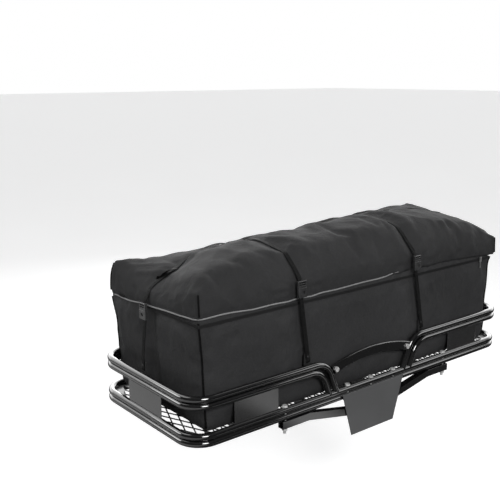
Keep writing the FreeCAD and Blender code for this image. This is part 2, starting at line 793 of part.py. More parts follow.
def fasteners():
    nut, washer = hex_nut(), flat_washer()
    nuts, washers = [], []

    # arch bolts: heads outside the arch bars, nuts inside the tabs
    bolt = hex_bolt("arch_bolt")
    arch_bolts = []
    head_y = ARCH_Y + size("arch_thick") / 2 + FINE_GAP
    nut_y = RAIL_Y - size("tab_thick") - 2 * FINE_GAP
    for side in (-1, 1):
        x, z = side * size("arch_bolt_x"), size("arch_bolt_z")
        for end in (-1, 1):          # rear, front
            outward = Rotation(Z_AXIS, Vector(0, end, 0))
            inward = Rotation(Z_AXIS, Vector(0, -end, 0))
            arch_bolts.append(placed(bolt, Vector(x, end * head_y, z), outward))
            nuts.append(placed(nut, Vector(x, end * nut_y, z), inward))
    feature("arch_bolts", Part.makeCompound(arch_bolts))

    # vertical bolts: heads on the upper of the lower rails, washer and nut below
    rail_top = LOWER_Z2 + TUBE_R + FINE_GAP
    half_brace = size("brace_size") / 2
    tab_under = LOWER_Z1 - TUBE_R - STACK_GAP - size("bracket_thick")
    down = Rotation(X_AXIS, 180)
    for label, bolt_name, points, under_z in (
            ("brace_bolts", "brace_bolt", BRACE_BOLTS, BRACE_END_Z - half_brace),
            ("bracket_bolts", "bracket_bolt", BRACKET_BOLTS, tab_under),
            ("shank_clamp_bolts", "clamp_bolt", CLAMP_BOLTS, BRACE_MID_Z - half_brace)):
        bolt = hex_bolt(bolt_name)
        bolts = [placed(bolt, Vector(x, y, rail_top)) for x, y in points]
        feature(label, Part.makeCompound(bolts))
        washer_z = under_z - FINE_GAP
        nut_z = washer_z - size("washer_thick") - FINE_GAP
        for x, y in points:
            washers.append(placed(washer, Vector(x, y, washer_z), down))
            nuts.append(placed(nut, Vector(x, y, nut_z), down))
    feature("hex_nuts", Part.makeCompound(nuts))
    feature("flat_washers", Part.makeCompound(washers))


fasteners()


# ---------------------------------------------------------------- cargo bag -
# Soft-sided bag: the tub stands on the mesh floor and the lid closes it.
# Sections from the bottom up: z, (x min, x max, y min, y max), corner radius
TUB = [
    (size("bag_base"), (-695, 668, -250, 240), 45),
    (size("bag_seam"), (-715, 682, -252, 268), 50),
]
LID = [
    (size("bag_seam") + size("lid_gap"), (-721, 688, -255, 272), 52),
    (405, (-716, 691, -252, 266), 52),
    (440, (-650, 692, -249, 262), 50),
    (size("lid_top"), (-330, 650, -160, 190), 45),
]


def loft(body, prefix, sections, kind, name):
    sketches = []
    for i, (z, limits, radius) in enumerate(sections):
        sketch = new_sketch(body, "%s_%d" % (prefix, i), "XY_Plane", z=z)
        rounded_rectangle(sketch, *limits, radius)
        sketches.append(sketch)
    feat = body.newObject(kind, name)
    feat.Profile = sketches[0]
    feat.Sections = sketches[1:]
    feat.Ruled = True
    doc.recompute()


def shrink(sections, inset):
    return [(z, (x0 + inset, x1 - inset, y0 + inset, y1 - inset), radius - inset)
            for z, (x0, x1, y0, y1), radius in sections]


def section_at(low, high, fraction, radius):
    """Section on the straight run from low to high, or beyond it."""
    z = low[0] + fraction * (high[0] - low[0])
    limits = tuple(a + fraction * (b - a) for a, b in zip(low[1], high[1]))
    return (z, limits, radius)


def bag_tub():
    body = new_body("bag_tub")
    loft(body, "TubOutline", TUB, "PartDesign::AdditiveLoft", "TubShell")
    wall = size("bag_wall")
    low, high = shrink(TUB, wall)
    # the hollow starts one wall above the base and runs out past the open top
    hollow = [
        section_at(low, high, wall / (high[0] - low[0]), low[2]),
        section_at(low, high, 1.01, high[2]),
    ]
    loft(body, "TubInside", hollow, "PartDesign::SubtractiveLoft", "TubHollow")


def bag_lid():
    body = new_body("bag_lid")
    loft(body, "LidOutline", LID, "PartDesign::AdditiveLoft", "LidShell")
    wall = size("bag_wall")
    hollow = shrink(LID, wall + 1.0)
    # the hollow starts below the open edge and stops one wall under the top
    hollow[0] = (hollow[0][0] - 1.0,) + hollow[0][1:]
    hollow[-1] = (size("lid_top") - wall,) + hollow[-1][1:]
    loft(body, "LidInside", hollow, "PartDesign::SubtractiveLoft", "LidHollow")


bag_tub()
bag_lid()

# The piping and the zip run round the left, rear and right sides only.
TRIM_END_Y = 200.0


def draw_three_sides(sketch, x0, x1, y0, radius):
    corners = [(x0, TRIM_END_Y), (x0, y0), (x1, y0), (x1, TRIM_END_Y)]
    draw_rounded(sketch, corners, radius)


def lid_piping():
    """Round cord outside the lid's lower edge."""
    left_x, right_x, rear_y, corner_rad = -723.2, 691.8, -257.6, 54
    z = size("cord_height")
    body = new_body("lid_piping")
    spine = new_sketch(body, "CordPath", "XY_Plane", z=z)
    draw_three_sides(spine, left_x, right_x, rear_y, corner_rad)
    section = new_sketch(body, "CordSection", "XZ_Plane", z=-TRIM_END_Y)
    circle(section, left_x, z, cell("cord_rad"))
    pipe(body, "PartDesign::AdditivePipe", "Cord", section, spine)


def zip_track():
    """Flat band round the top of the tub, below the seam."""
    left_x, right_x, rear_y, corner_rad = -715.8, 682.8, -252.8, 51
    thick = 2.2
    below_seam = 2
    body = new_body("zip_track")
    z = size("bag_seam") - below_seam - size("zip_height")
    outline = new_sketch(body, "ZipOutline", "XY_Plane", z=z)
    draw_three_sides(outline, left_x, right_x, rear_y, corner_rad)
    draw_three_sides(outline, left_x - thick, right_x + thick, rear_y - thick, corner_rad + thick)
    segment(outline, (left_x, TRIM_END_Y), (left_x - thick, TRIM_END_Y))
    segment(outline, (right_x, TRIM_END_Y), (right_x + thick, TRIM_END_Y))
    pad(body, outline, cell("zip_height"), name="ZipTeeth")


def zip_block(label, prefix, y, z, edge_rad):
    """Rounded block on the zip; prefix names its cells and its objects."""
    sides = [cell(prefix + suffix) for suffix in ("_width", "_depth", "_height")]
    block = centred_box(prefix + "_block", *sides, y=y, z=z, x=size("slider_x"))
    rounded = round_all_edges(prefix + "_round", block, edge_rad)
    rounded.Label = label
    rounded.Placement = HOME
    PIECES.append((label, rounded))


lid_piping()
zip_track()
SLIDER_Y = -261.4
zip_block("zip_slider", "slider", y=SLIDER_Y, z=351.5, edge_rad=1.2)
zip_block("zip_pull", "pull", y=SLIDER_Y + 1.5, z=327.4, edge_rad=0.7)


# ------------------------------------------------------------------- straps -
# Flat webbing. A ribbon has its width along its local X and its path in the
# local YZ plane; the path is the face nearest the bag.
def ribbon(label, path, side, place):
    """side is 1 when the webbing's thickness lies to the left of its path, else -1."""
    body = new_body(label, HOME.multiply(place))
    sketch = new_sketch(body, "Path0_" + label, "YZ_Plane")
    polygon(sketch, path + offset_open(path, side * size("web_thick"))[::-1])
    pad(body, sketch, cell("web_width"), midplane=True, name="Web0_" + label)
    doc.recompute()
    return body


LEAN = math.radians(4.9)
REAR_BASE = (-262.6, 374.0)               # (y, z) of the rear buckles' lower end, at the bag
REAR_UP = (math.sin(LEAN), math.cos(LEAN))
LEFT_STRAP_X, RIGHT_STRAP_X = -328.0, 228.0


def on_rear(distance):
    """Point up the leaning rear line from REAR_BASE."""
    return (REAR_BASE[0] + REAR_UP[0] * distance, REAR_BASE[1] + REAR_UP[1] * distance)


def tilt(x_top, x_low, z_top, z_low):
    """Placement that leans a ribbon sideways about its upper end."""
    angle = math.degrees(math.atan2(x_low - x_top, z_top - z_low))
    rotation = Rotation(Vector(0, 1, 0), -angle)
    return Placement(Vector(x_top, 0, z_top) - rotation.multVec(Vector(0, 0, z_top)), rotation)


# Every lower strap ends on a flat steel tab on the bag side of the upper rail
# pair; a rivet goes through the webbing.
ANCHOR_FACE = TUBE_R + 0.1       # tab's rail-side face from the rail's centre line
STRAP_SINK = 0.05                # how far the webbing's bag side lies short of that face
ANCHOR_LOW, ANCHOR_HIGH = 112.0, 188.0
STRAP_LOW_Z, STRAP_BEND_Z = 155.0, 194.0
RIVET_Z = 172.0
anchors = []                     # (turn about Z that points local +Y at the bag, rivet place)


def lower_strap(label, rail, side, upper_path, place, turn):
    """Strap from a tab on the rail up along upper_path, with its rivet hole."""
    y = -side * (rail - ANCHOR_FACE + STRAP_SINK)
    path = [(y, STRAP_LOW_Z), (y, STRAP_BEND_Z)] + upper_path
    body = ribbon(label, path, side, place)
    hole = new_sketch(body, "RivetHole_" + label, "XZ_Plane")
    circle(hole, 0, RIVET_Z, cell("rivet_hole"))
    pocket(body, hole, name="RivetHole_cut_" + label)
    doc.recompute()
    anchors.append((turn, place.multVec(Vector(0, y, RIVET_Z))))


# rear straps reach the buckles; front straps reach the top of the tub
for end, side, turn, upper_path in (
        ("rear", 1, 0, [REAR_BASE, on_rear(26.0)]),
        ("front", -1, 180, [(275.0, 352.0)])):
    for hand, x_top, x_low in (("left", LEFT_STRAP_X, -289.0), ("right", RIGHT_STRAP_X, 278.0)):
        place = tilt(x_top, x_low, z_top=upper_path[0][1], z_low=156.0)
        lower_strap("%s_%s_lower_strap" % (end, hand), RAIL_Y, side, upper_path, place, turn)

# over-straps on the lid, from behind the rear buckle plug to the front side
LID_ACROSS = [(-249, 440), (-160, size("lid_top")), (190, size("lid_top")),
              (262, 440), (266, 405), (272, 370)]           # (y, z)
over_path = [on_rear(44.0), on_rear(66.0)] + offset_open(LID_ACROSS, 3.2)[1:]
for label, x in (("left_over_strap", LEFT_STRAP_X), ("right_over_strap", RIGHT_STRAP_X)):
    ribbon(label, over_path, 1, Placement(Vector(x, 0, 0), Rotation()))

# lengthwise strap: the ribbon's local +Y becomes +X
STRAP_Y = 20.0
LENGTHWISE = Placement(Vector(0, STRAP_Y, 0), Rotation(Z_AXIS, -90))
LEFT_X, RIGHT_X = -727.0, 696.5            # face nearest the bag
LID_ALONG = [(LEFT_X, 405), (-650, 440), (-330, size("lid_top")),
             (650, size("lid_top")), (692, 440), (RIGHT_X, 405)]       # (x, z)
long_path = [(LEFT_X, 358.0), (LEFT_X, 400.0)]
long_path += offset_open(LID_ALONG, 0.9)[1:-2]
long_path += [(RIGHT_X, 436.0), (RIGHT_X, 358.0)]
ribbon("lengthwise_over_strap", long_path, 1, LENGTHWISE)
for label, face_x, side, turn in (("left_end_lower_strap", LEFT_X, 1, -90),
                                  ("right_end_lower_strap", RIGHT_X, -1, 90)):
    lower_strap(label, RAIL_X, side, [(face_x, 322.0), (face_x, 352.0)], LENGTHWISE, turn)


def anchor_plate():
    """Rounded flat plate from y = 0 to its thickness."""
    body = new_body("anchor_tab", Placement(), export=False)
    outline = new_sketch(body, "TabOutline", "XZ_Plane")
    rounded_rectangle(outline, -15, 15, ANCHOR_LOW, ANCHOR_HIGH, 6)
    pad(body, outline, cell("anchor_thick"), reverse=True, name="TabPlate")
    doc.recompute()
    return body.Shape.copy()


def strap_anchor_tabs():
    """The six tabs, each fused with its rivet; local +Y points at the bag."""
    plate = anchor_plate()
    web = size("web_thick")
    outward = Vector(0, -1, 0)
    tabs = []
    for turn, rivet in anchors:
        stem = Part.makeCylinder(size("rivet_hole") - 0.2, web + 1.2,
                                 Vector(0, 0.5, rivet.z), outward)
        head = Part.makeCone(4.6, 3.2, 1.3, Vector(0, -web - 0.12, rivet.z), outward)
        tab = plate.fuse([stem, head]).removeSplitter()
        tab.rotate(Vector(0, 0, 0), Z_AXIS, turn)
        to_bag = Rotation(Z_AXIS, turn).multVec(Vector(0, STRAP_SINK, 0))
        tab.translate(Vector(rivet.x, rivet.y, 0) + to_bag)
        tabs.append(tab)
    feature("strap_anchor_tabs", Part.makeCompound(tabs))


strap_anchor_tabs()


# ------------------------------------------------------------------ buckles -
# Side-release buckle. Local frame: X across the webbing, Y out of the bag,
# Z up along the webbing. The socket sits on the lower strap, the plug on the
# strap above it.
BUCKLE_Y = 2.3           # face nearest the bag
BUCKLE_EDGE_RAD = 2.0


def buckle_socket():
    """Shell open at the top, with a window in its outer face."""
    block = centred_box("socket_block", cell("buckle_width"), cell("buckle_depth"),
                        cell("socket_length"), y=BUCKLE_Y, z=8)
    shell = round_all_edges("socket_shell", block, BUCKLE_EDGE_RAD)
    room = centred_box("socket_room", "Sizes.buckle_width - 5", "Sizes.buckle_depth - 4.2",
                       cell("socket_length"), y=4.4, z=14)
    hollow = boolean("Part::Cut", "socket_cut", shell, room)
    window = centred_box("socket_window", cell("window_width"), "6", cell("window_height"),
                         y=9, z=20)
    socket = boolean("Part::Cut", "socket_open", hollow, window)
    doc.recompute()
    return socket.Shape


def buckle_plug():
    """Grip with two webbing slots and a tongue reaching down into the socket."""
    block = centred_box("plug_block", cell("buckle_width"), cell("buckle_depth"),
                        cell("plug_length"), y=BUCKLE_Y, z=40.5)
    grip = round_all_edges("plug_grip", block, BUCKLE_EDGE_RAD)
    tongue = centred_box("plug_tongue", cell("tongue_width"), cell("tongue_thick"),
                         "Sizes.tongue_length + 3", y=5.6, z=17)
    tongue = round_all_edges("plug_tongue_r", tongue, 0.8)
    plug = boolean("Part::Fuse", "plug_fuse", grip, tongue)
    for slot_name, cut_name, z in (("plug_slot", "plug_c1", 47), ("plug_slot2", "plug_c2", 54)):
        slot = centred_box(slot_name, cell("slot_width"), "14", cell("slot_height"), y=0, z=z)
        plug = boolean("Part::Cut", cut_name, plug, slot)
    doc.recompute()
    return plug.Shape


def buckle_place(origin, out, up):
    return Placement(origin, Rotation(out.cross(up), out, up, "ZXY"))


def rear_buckle(x):
    out = Vector(0, -REAR_UP[1], REAR_UP[0])
    return buckle_place(Vector(x, *REAR_BASE), out, Vector(0, *REAR_UP))


def end_buckle(x, out_x):
    return buckle_place(Vector(x, STRAP_Y, 314.0), Vector(out_x, 0, 0), Z_AXIS)


BUCKLES = [
    ("rear_left", rear_buckle(LEFT_STRAP_X)),
    ("rear_right", rear_buckle(RIGHT_STRAP_X)),
    ("left_end", end_buckle(LEFT_X, -1)),
    ("right_end", end_buckle(RIGHT_X, 1)),
]
socket_shape, plug_shape = buckle_socket(), buckle_plug()
sockets = []
for _, place in BUCKLES:
    socket = socket_shape.copy()
    socket.Placement = place
    sockets.append(socket)
feature("buckle_sockets", Part.makeCompound(sockets))
for name, place in BUCKLES:
    feature(name + "_buckle_plug", plug_shape.copy(), HOME.multiply(place))


# ------------------------------------------------------------ check, export -
doc.recompute()
for obj in doc.Objects:
    if "Invalid" in obj.State or "Error" in obj.State:
        raise RuntimeError("%s is %s" % (obj.Label, obj.State))
for label, obj in PIECES:
    shape = obj.Shape
    if shape.isNull() or not shape.isValid() or not shape.Solids:
        raise RuntimeError("bad shape: " + label)
os.makedirs("parts", exist_ok=True)
for label, obj in PIECES:
    obj.Shape.exportStep("parts/%s.step" % label)
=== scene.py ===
"""Hitch cargo carrier: a steel basket with a strapped soft cargo bag, on a pale studio floor.

Lengths are millimetres in the basket's own frame unless a comment says otherwise: X along the
long side, +Y towards the vehicle, Z up from the centre line of the lowest tube. "Left" is -X,
"right" +X, "rear" -Y and "front" +Y. to_row() turns millimetres into metres in the row frame.
Shader lengths, light sizes and mesh data are metres.
"""

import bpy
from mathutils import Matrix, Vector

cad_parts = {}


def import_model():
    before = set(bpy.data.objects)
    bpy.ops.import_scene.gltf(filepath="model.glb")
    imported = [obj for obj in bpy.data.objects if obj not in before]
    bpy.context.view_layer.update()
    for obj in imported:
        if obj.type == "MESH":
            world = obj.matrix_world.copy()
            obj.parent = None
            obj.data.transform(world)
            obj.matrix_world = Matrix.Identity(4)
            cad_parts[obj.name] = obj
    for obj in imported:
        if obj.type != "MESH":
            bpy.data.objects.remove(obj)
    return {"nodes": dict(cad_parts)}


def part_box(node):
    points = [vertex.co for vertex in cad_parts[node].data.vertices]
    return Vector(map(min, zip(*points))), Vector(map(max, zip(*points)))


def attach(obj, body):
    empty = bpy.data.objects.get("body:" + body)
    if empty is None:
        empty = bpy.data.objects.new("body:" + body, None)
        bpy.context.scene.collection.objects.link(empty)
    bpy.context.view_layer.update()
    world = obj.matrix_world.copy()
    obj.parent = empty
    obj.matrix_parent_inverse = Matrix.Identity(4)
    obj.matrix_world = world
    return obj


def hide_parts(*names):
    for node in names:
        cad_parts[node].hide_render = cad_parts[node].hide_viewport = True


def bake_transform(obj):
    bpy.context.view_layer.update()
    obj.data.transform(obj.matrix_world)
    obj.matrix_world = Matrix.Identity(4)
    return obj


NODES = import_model()["nodes"]

import math

import bmesh
import bpy
import numpy as np
from mathutils import Matrix, Vector
from mathutils.bvhtree import BVHTree

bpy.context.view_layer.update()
LOW_TUBE_RADIUS = 0.0111  # metres

_low, _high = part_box("lower_rail_bottom")
ORIGIN = np.array([(_low.x + _high.x) / 2, (_low.y + _high.y) / 2, _low.z + LOW_TUBE_RADIUS])


def to_row(points):
    return np.asarray(points, float) / 1000 + ORIGIN


def to_mm(points):
    return (np.asarray(points, float) - ORIGIN) * 1000


def place(x, y, z):
    return Vector(to_row((x, y, z)))


def mm_box(node):
    low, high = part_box(node)
    return to_mm(low), to_mm(high)


# ---------------------------------------------------------------- shader helpers

class Shader:
    """A node tree with short calls for the nodes that the materials share.

    Any input may be a number, a colour as a tuple of three, or another node's output.
    """

    def __init__(self, tree, space="Object"):
        self.tree = tree
        self.position = self.node("ShaderNodeTexCoord").outputs[space]

    def node(self, kind, **props):
        made = self.tree.nodes.new(kind)
        for name, value in props.items():
            setattr(made, name, value)
        return made

    def feed(self, socket, value):
        if isinstance(value, (int, float)):
            socket.default_value = value
        elif isinstance(value, tuple):
            socket.default_value = (*value, 1)
        else:
            self.tree.links.new(value, socket)

    def noise(self, scale, detail, rough=0.55, distortion=0.0):
        made = self.node("ShaderNodeTexNoise")
        made.inputs["Scale"].default_value = scale
        made.inputs["Detail"].default_value = detail
        made.inputs["Roughness"].default_value = rough
        made.inputs["Distortion"].default_value = distortion
        self.feed(made.inputs["Vector"], self.position)
        return made.outputs["Fac"]

    def ramp(self, fac, stops):
        """Grey ramp; stops are (position, brightness)."""
        made = self.node("ShaderNodeValToRGB")
        elements = made.color_ramp.elements
        while len(elements) < len(stops):
            elements.new(0.5)
        for i, (position, grey) in enumerate(stops):
            elements[i].position = position
            elements[i].color = (grey, grey, grey, 1)
        self.feed(made.inputs["Fac"], fac)
        return made.outputs["Color"]

    def fade(self, fac, start, end, top=1.0):
        """Rises from 0 at start to top at end."""
        return self.ramp(fac, [(start, 0.0), (end, top)])

    def math(self, operation, first, second=None):
        made = self.node("ShaderNodeMath", operation=operation)
        self.feed(made.inputs[0], first)
        if second is not None:
            self.feed(made.inputs[1], second)
        return made.outputs[0]

    def plus(self, first, second):
        return self.math("ADD", first, second)

    def times(self, first, second):
        return self.math("MULTIPLY", first, second)

    def mix(self, fac, color, other):
        made = self.node("ShaderNodeMix", data_type="RGBA")
        for number, value in ((0, fac), (6, color), (7, other)):
            self.feed(made.inputs[number], value)
        return made.outputs[2]

    def split(self, vector):
        made = self.node("ShaderNodeSeparateXYZ")
        self.feed(made.inputs[0], vector)
        return made.outputs

    def geometry(self, output):
        return self.node("ShaderNodeNewGeometry").outputs[output]

    def bump(self, height, strength, distance, normal=None):
        made = self.node("ShaderNodeBump")
        made.inputs["Strength"].default_value = strength
        made.inputs["Distance"].default_value = distance
        self.feed(made.inputs["Height"], height)
        if normal is not None:
            self.feed(made.inputs["Normal"], normal)
        return made.outputs["Normal"]

    def edge_wear(self):
        return self.fade(self.geometry("Pointiness"), 0.52, 0.60)

    def weave(self, pitch):
        """Sum of three sines: a thread grid on any face that lies along two of the axes."""
        axes = self.split(self.position)
        total = None
        for axis in "XYZ":
            wave = self.math("SINE", self.times(axes[axis], 2 * math.pi / pitch))
            total = wave if total is None else self.plus(total, wave)
        return total

    def surface(self, values):
        inputs = self.tree.nodes["Principled BSDF"].inputs
        for name, value in values.items():
            self.feed(inputs[name], value)


def new_material(name):
    mat = bpy.data.materials.new(name)
    mat.use_nodes = True
    return mat, Shader(mat.node_tree)


def scaled(color, factor):
    return tuple(min(1, c * factor) for c in color)


# ---------------------------------------------------------------- materials

def paint(name, base, edge, rough, coat, peel=0.05, dust=0.35):
    """Powder coat: orange peel, uneven gloss, lighter edges, a little dust on upward faces."""
    mat, sh = new_material(name)
    blotch = sh.noise(scale=9, detail=5)
    fine = sh.noise(scale=900, detail=2)
    speck = sh.noise(scale=260, detail=6, rough=0.7)
    color = sh.mix(sh.fade(blotch, 0.35, 0.7), base, scaled(base, 1.35))
    color = sh.mix(sh.times(sh.edge_wear(), 0.6), color, edge)
    upward = sh.fade(sh.split(sh.geometry("Normal"))["Z"], 0.55, 1.0)
    dusty = sh.times(upward, sh.fade(speck, 0.45, 0.8, top=dust))
    dust_color = (0.16, 0.16, 0.155)
    uneven = sh.plus(rough, sh.times(sh.fade(blotch, 0.3, 0.75), 0.10))
    sh.surface({
        "Base Color": sh.mix(dusty, color, dust_color),
        "Roughness": sh.plus(uneven, sh.times(dusty, 0.3)),
        "Coat Weight": coat,
        "Coat Roughness": 0.05,
        "Normal": sh.bump(fine, strength=peel, distance=0.0004),
    })
    return mat


def metal(name, base, rough):
    """Zinc plate or bare steel: spangle, a faint grain, darker stain in patches."""
    mat, sh = new_material(name)
    spangle = sh.node("ShaderNodeTexVoronoi")
    spangle.inputs["Scale"].default_value = 420
    sh.feed(spangle.inputs["Vector"], sh.position)
    stain = sh.noise(scale=60, detail=6, rough=0.6)
    stained = sh.ramp(stain, [(0.3, 1.0), (0.6, 0.0)])
    color = sh.mix(stained, base, scaled(base, 0.55))
    color = sh.mix(sh.times(spangle.outputs["Distance"], 0.35), color, scaled(base, 1.3))
    grain = sh.noise(scale=700, detail=3)
    sh.surface({
        "Base Color": color,
        "Metallic": 0.65,
        "Roughness": sh.plus(rough, sh.times(stain, 0.2)),
        "Normal": sh.bump(grain, strength=0.25, distance=0.0003),
    })
    return mat


def plastic(name, base, rough):
    """Moulded plastic: fine grain, uneven sheen, worn lighter edges."""
    mat, sh = new_material(name)
    blotch = sh.noise(scale=45, detail=5)
    color = sh.mix(sh.fade(blotch, 0.35, 0.7), base, scaled(base, 1.6))
    worn_color = (0.10, 0.10, 0.10)
    grain = sh.noise(scale=1500, detail=3)
    sh.surface({
        "Base Color": sh.mix(sh.times(sh.edge_wear(), 0.5), color, worn_color),
        "Roughness": sh.plus(rough, sh.times(blotch, 0.12)),
        "Normal": sh.bump(grain, strength=0.18, distance=0.0003),
    })
    return mat


def cloth(name, base, light, rough, sheen, weave=0.25, crease=0.35):
    """Coated woven polyester: thread grid, soft crumple and lighter patches at three sizes."""
    mat, sh = new_material(name)
    big = sh.noise(scale=3.2, detail=5, rough=0.6)
    mid = sh.noise(scale=22, detail=6, rough=0.6, distortion=0.4)
    fine = sh.noise(scale=320, detail=4, rough=0.6)
    color = sh.mix(sh.fade(big, 0.32, 0.72), base, light)
    color = sh.mix(sh.times(sh.fade(mid, 0.45, 0.8), 0.35), color, light)
    color = sh.mix(sh.times(sh.fade(fine, 0.35, 0.75), 0.25), color, scaled(light, 1.7))
    crumple = sh.noise(scale=34, detail=7, rough=0.62, distortion=1.2)
    creased = sh.bump(crumple, strength=crease, distance=0.006)
    threads = sh.weave(pitch=0.0022)
    sh.surface({
        "Base Color": color,
        "Roughness": sh.plus(rough - 0.08, sh.times(mid, 0.2)),
        "Sheen Weight": sheen,
        "Sheen Roughness": 0.45,
        "Sheen Tint": (0.8, 0.8, 0.82),
        "Specular IOR Level": 0.10,
        "Normal": sh.bump(threads, strength=weave, distance=0.00025, normal=creased),
    })
    return mat


def webbing_color(sh, base, light):
    return sh.mix(sh.fade(sh.noise(scale=60, detail=5), 0.35, 0.72), base, light)


def webbing_mat(name, base, light):
    """Woven strap. The UV runs along the strap first and across it second, in metres."""
    mat, sh = new_material(name)
    uv = sh.split(sh.node("ShaderNodeUVMap", uv_map="strap").outputs[0])
    turns = 2 * math.pi / 0.0024  # thread pitch
    one_way, other_way = (sh.math("SINE", sh.times(sh.math(sign, uv["X"], uv["Y"]), turns))
                          for sign in ("ADD", "SUBTRACT"))
    threads = sh.math("MAXIMUM", one_way, other_way)
    color = webbing_color(sh, base, light)
    sh.surface({
        "Base Color": sh.mix(sh.times(sh.fade(threads, 0.0, 1.0), 0.4), color, light),
        "Roughness": 0.7,
        "Specular IOR Level": 0.12,
        "Normal": sh.bump(threads, strength=0.5, distance=0.0005),
    })
    return mat


def webbing_plain(name, base, light):
    """The same webbing for straps that carry no UV: thread grid straight from position."""
    mat, sh = new_material(name)
    sh.surface({
        "Base Color": webbing_color(sh, base, light),
        "Roughness": 0.55,
        "Sheen Weight": 0.12,
        "Normal": sh.bump(sh.weave(pitch=0.0030), strength=0.5, distance=0.0005),
    })
    return mat


WEBBING_COLORS = dict(base=(0.0018, 0.0018, 0.0019), light=(0.0045, 0.0045, 0.0046))

MAT = {
    "frame_paint": paint("frame_powder_coat", base=(0.0022, 0.0022, 0.0024),
                         edge=(0.016, 0.016, 0.016), rough=0.07, coat=1.0, peel=0.02, dust=0.05),
    "plate_paint": paint("plate_powder_coat", base=(0.006, 0.006, 0.0063),
                         edge=(0.03, 0.03, 0.03), rough=0.12, coat=0.6, peel=0.03, dust=0.1),
    "bracket_paint": paint("bracket_satin_coat", base=(0.050, 0.051, 0.053),
                           edge=(0.09, 0.09, 0.09), rough=0.46, coat=0.1),
    "thread": plastic("strap_thread", base=(0.03, 0.03, 0.03), rough=0.6),
    # Seam binding: a real piece, but its near-black colour, far darker than the bag cloth, is
    # painted shade along the corner seams.
    "binding": cloth("seam_binding_painted_shade", base=(0.0012, 0.0012, 0.0013),
                     light=(0.0025, 0.0025, 0.0026), rough=0.8, sheen=0.0, weave=0.3, crease=0.1),
    "mesh_steel": paint("mesh_coat", base=(0.020, 0.020, 0.021), edge=(0.10, 0.10, 0.10),
                        rough=0.35, coat=0.3),
    "zinc_steel": metal("zinc_plate", base=(0.86, 0.86, 0.85), rough=0.28),
    "hook_steel": metal("hook_steel", base=(0.035, 0.035, 0.036), rough=0.35),
    "black_plastic": plastic("cap_plastic", base=(0.012, 0.012, 0.012), rough=0.42),
    "bag_fabric": cloth("bag_polyester", base=(0.019, 0.019, 0.0196),
                        light=(0.029, 0.029, 0.0298), rough=0.66, sheen=0.02),
    # The lid is the tub's cloth; its colour is set a little darker than the tub's as painted shade,
    # to tone down its lit top.
    "lid_fabric": cloth("lid_polyester_painted_shade", base=(0.017, 0.017, 0.0175),
                        light=(0.026, 0.026, 0.0267), rough=0.70, sheen=0.01),
    "piping": cloth("piping_cord", base=(0.15, 0.15, 0.152), light=(0.21, 0.21, 0.21),
                    rough=0.55, sheen=0.10, weave=0.4, crease=0.1),
    "zip_coil": cloth("zip_nylon", base=(0.011, 0.011, 0.0113), light=(0.014, 0.014, 0.0143),
                      rough=0.75, sheen=0.02, weave=0.3, crease=0.1),
    "zip_metal": metal("zip_nickel", base=(0.22, 0.22, 0.22), rough=0.3),
    "buckle_plastic": plastic("buckle_acetal", base=(0.020, 0.020, 0.0205), rough=0.14),
    "webbing": webbing_mat("webbing_weave", **WEBBING_COLORS),
}
CAD_WEBBING = webbing_plain("webbing_weave_plain", **WEBBING_COLORS)


# ---------------------------------------------------------------- mesh helpers

def make_mesh(name, points, faces, mat, smooth=True, uvs=None, recalc=False):
    mesh = bpy.data.meshes.new(name)
    mesh.from_pydata([tuple(v) for v in to_row(points)], [], faces)
    mesh.update()
    if smooth:
        mesh.shade_smooth()
    if uvs is not None:
        layer = mesh.uv_layers.new(name="strap")
        flat = np.array([uvs[v] for face in faces for v in face], np.float32).ravel()
        layer.data.foreach_set("uv", flat)
    obj = bpy.data.objects.new(name, mesh)
    bpy.context.scene.collection.objects.link(obj)
    mesh.materials.append(mat)
    if recalc:
        work = bmesh.new()
        work.from_mesh(mesh)
        bmesh.ops.recalc_face_normals(work, faces=work.faces)
        work.to_mesh(mesh)
        work.free()
    return obj


def register(obj, body, node=None):
    if node:
        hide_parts(node)
    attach(obj, body)


def unit_rows(vectors):
    return vectors / np.maximum(np.linalg.norm(vectors, axis=1, keepdims=True), 1e-9)


def tangents(line):
    step = np.zeros_like(line)
    step[1:-1] = line[2:] - line[:-2]
    step[0], step[-1] = line[1] - line[0], line[-1] - line[-2]
    return unit_rows(step)


def distances(line):
    """Length along the line at each of its points."""
    return np.concatenate([[0], np.cumsum(np.linalg.norm(np.diff(line, axis=0), axis=1))])


def resample(line, step):
    line = np.asarray(line, float)
    at = distances(line)
    count = max(2, int(round(at[-1] / step)))
    wanted = np.linspace(0, at[-1], count + 1)
    return np.array([np.interp(wanted, at, line[:, i]) for i in range(line.shape[1])]).T


def smooth_line(line, times):
    line = np.asarray(line, float).copy()
    for _ in range(times):
        line[1:-1] = 0.5 * line[1:-1] + 0.25 * (line[2:] + line[:-2])
    return line


def loft_faces(rings, sides):
    """Quads that join each ring of points to the next, and a cap at both ends."""
    faces = []
    for i in range(rings - 1):
        here, there = i * sides, (i + 1) * sides
        for k in range(sides):
            after = (k + 1) % sides
            faces.append((here + k, here + after, there + after, there + k))
    faces.append(tuple(range(sides - 1, -1, -1)))
    faces.append(tuple((rings - 1) * sides + k for k in range(sides)))
    return faces


def tube(name, line, radius, mat, sides):
    along = tangents(line)
    normal = np.array([0.0, 0.0, 1.0]) if abs(along[0][2]) < 0.9 else np.array([1.0, 0, 0])
    points = []
    for centre, tangent in zip(line, along):
        normal = normal - tangent * (normal @ tangent)
        normal /= np.linalg.norm(normal)
        binormal = np.cross(tangent, normal)
        for k in range(sides):
            angle = 2 * math.pi * k / sides
            points.append(centre + radius * (math.cos(angle) * normal
                                             + math.sin(angle) * binormal))
    return make_mesh(name, points, loft_faces(len(line), sides), mat)


STRAP_EDGE = 0.45  # bevel along a strap's edges


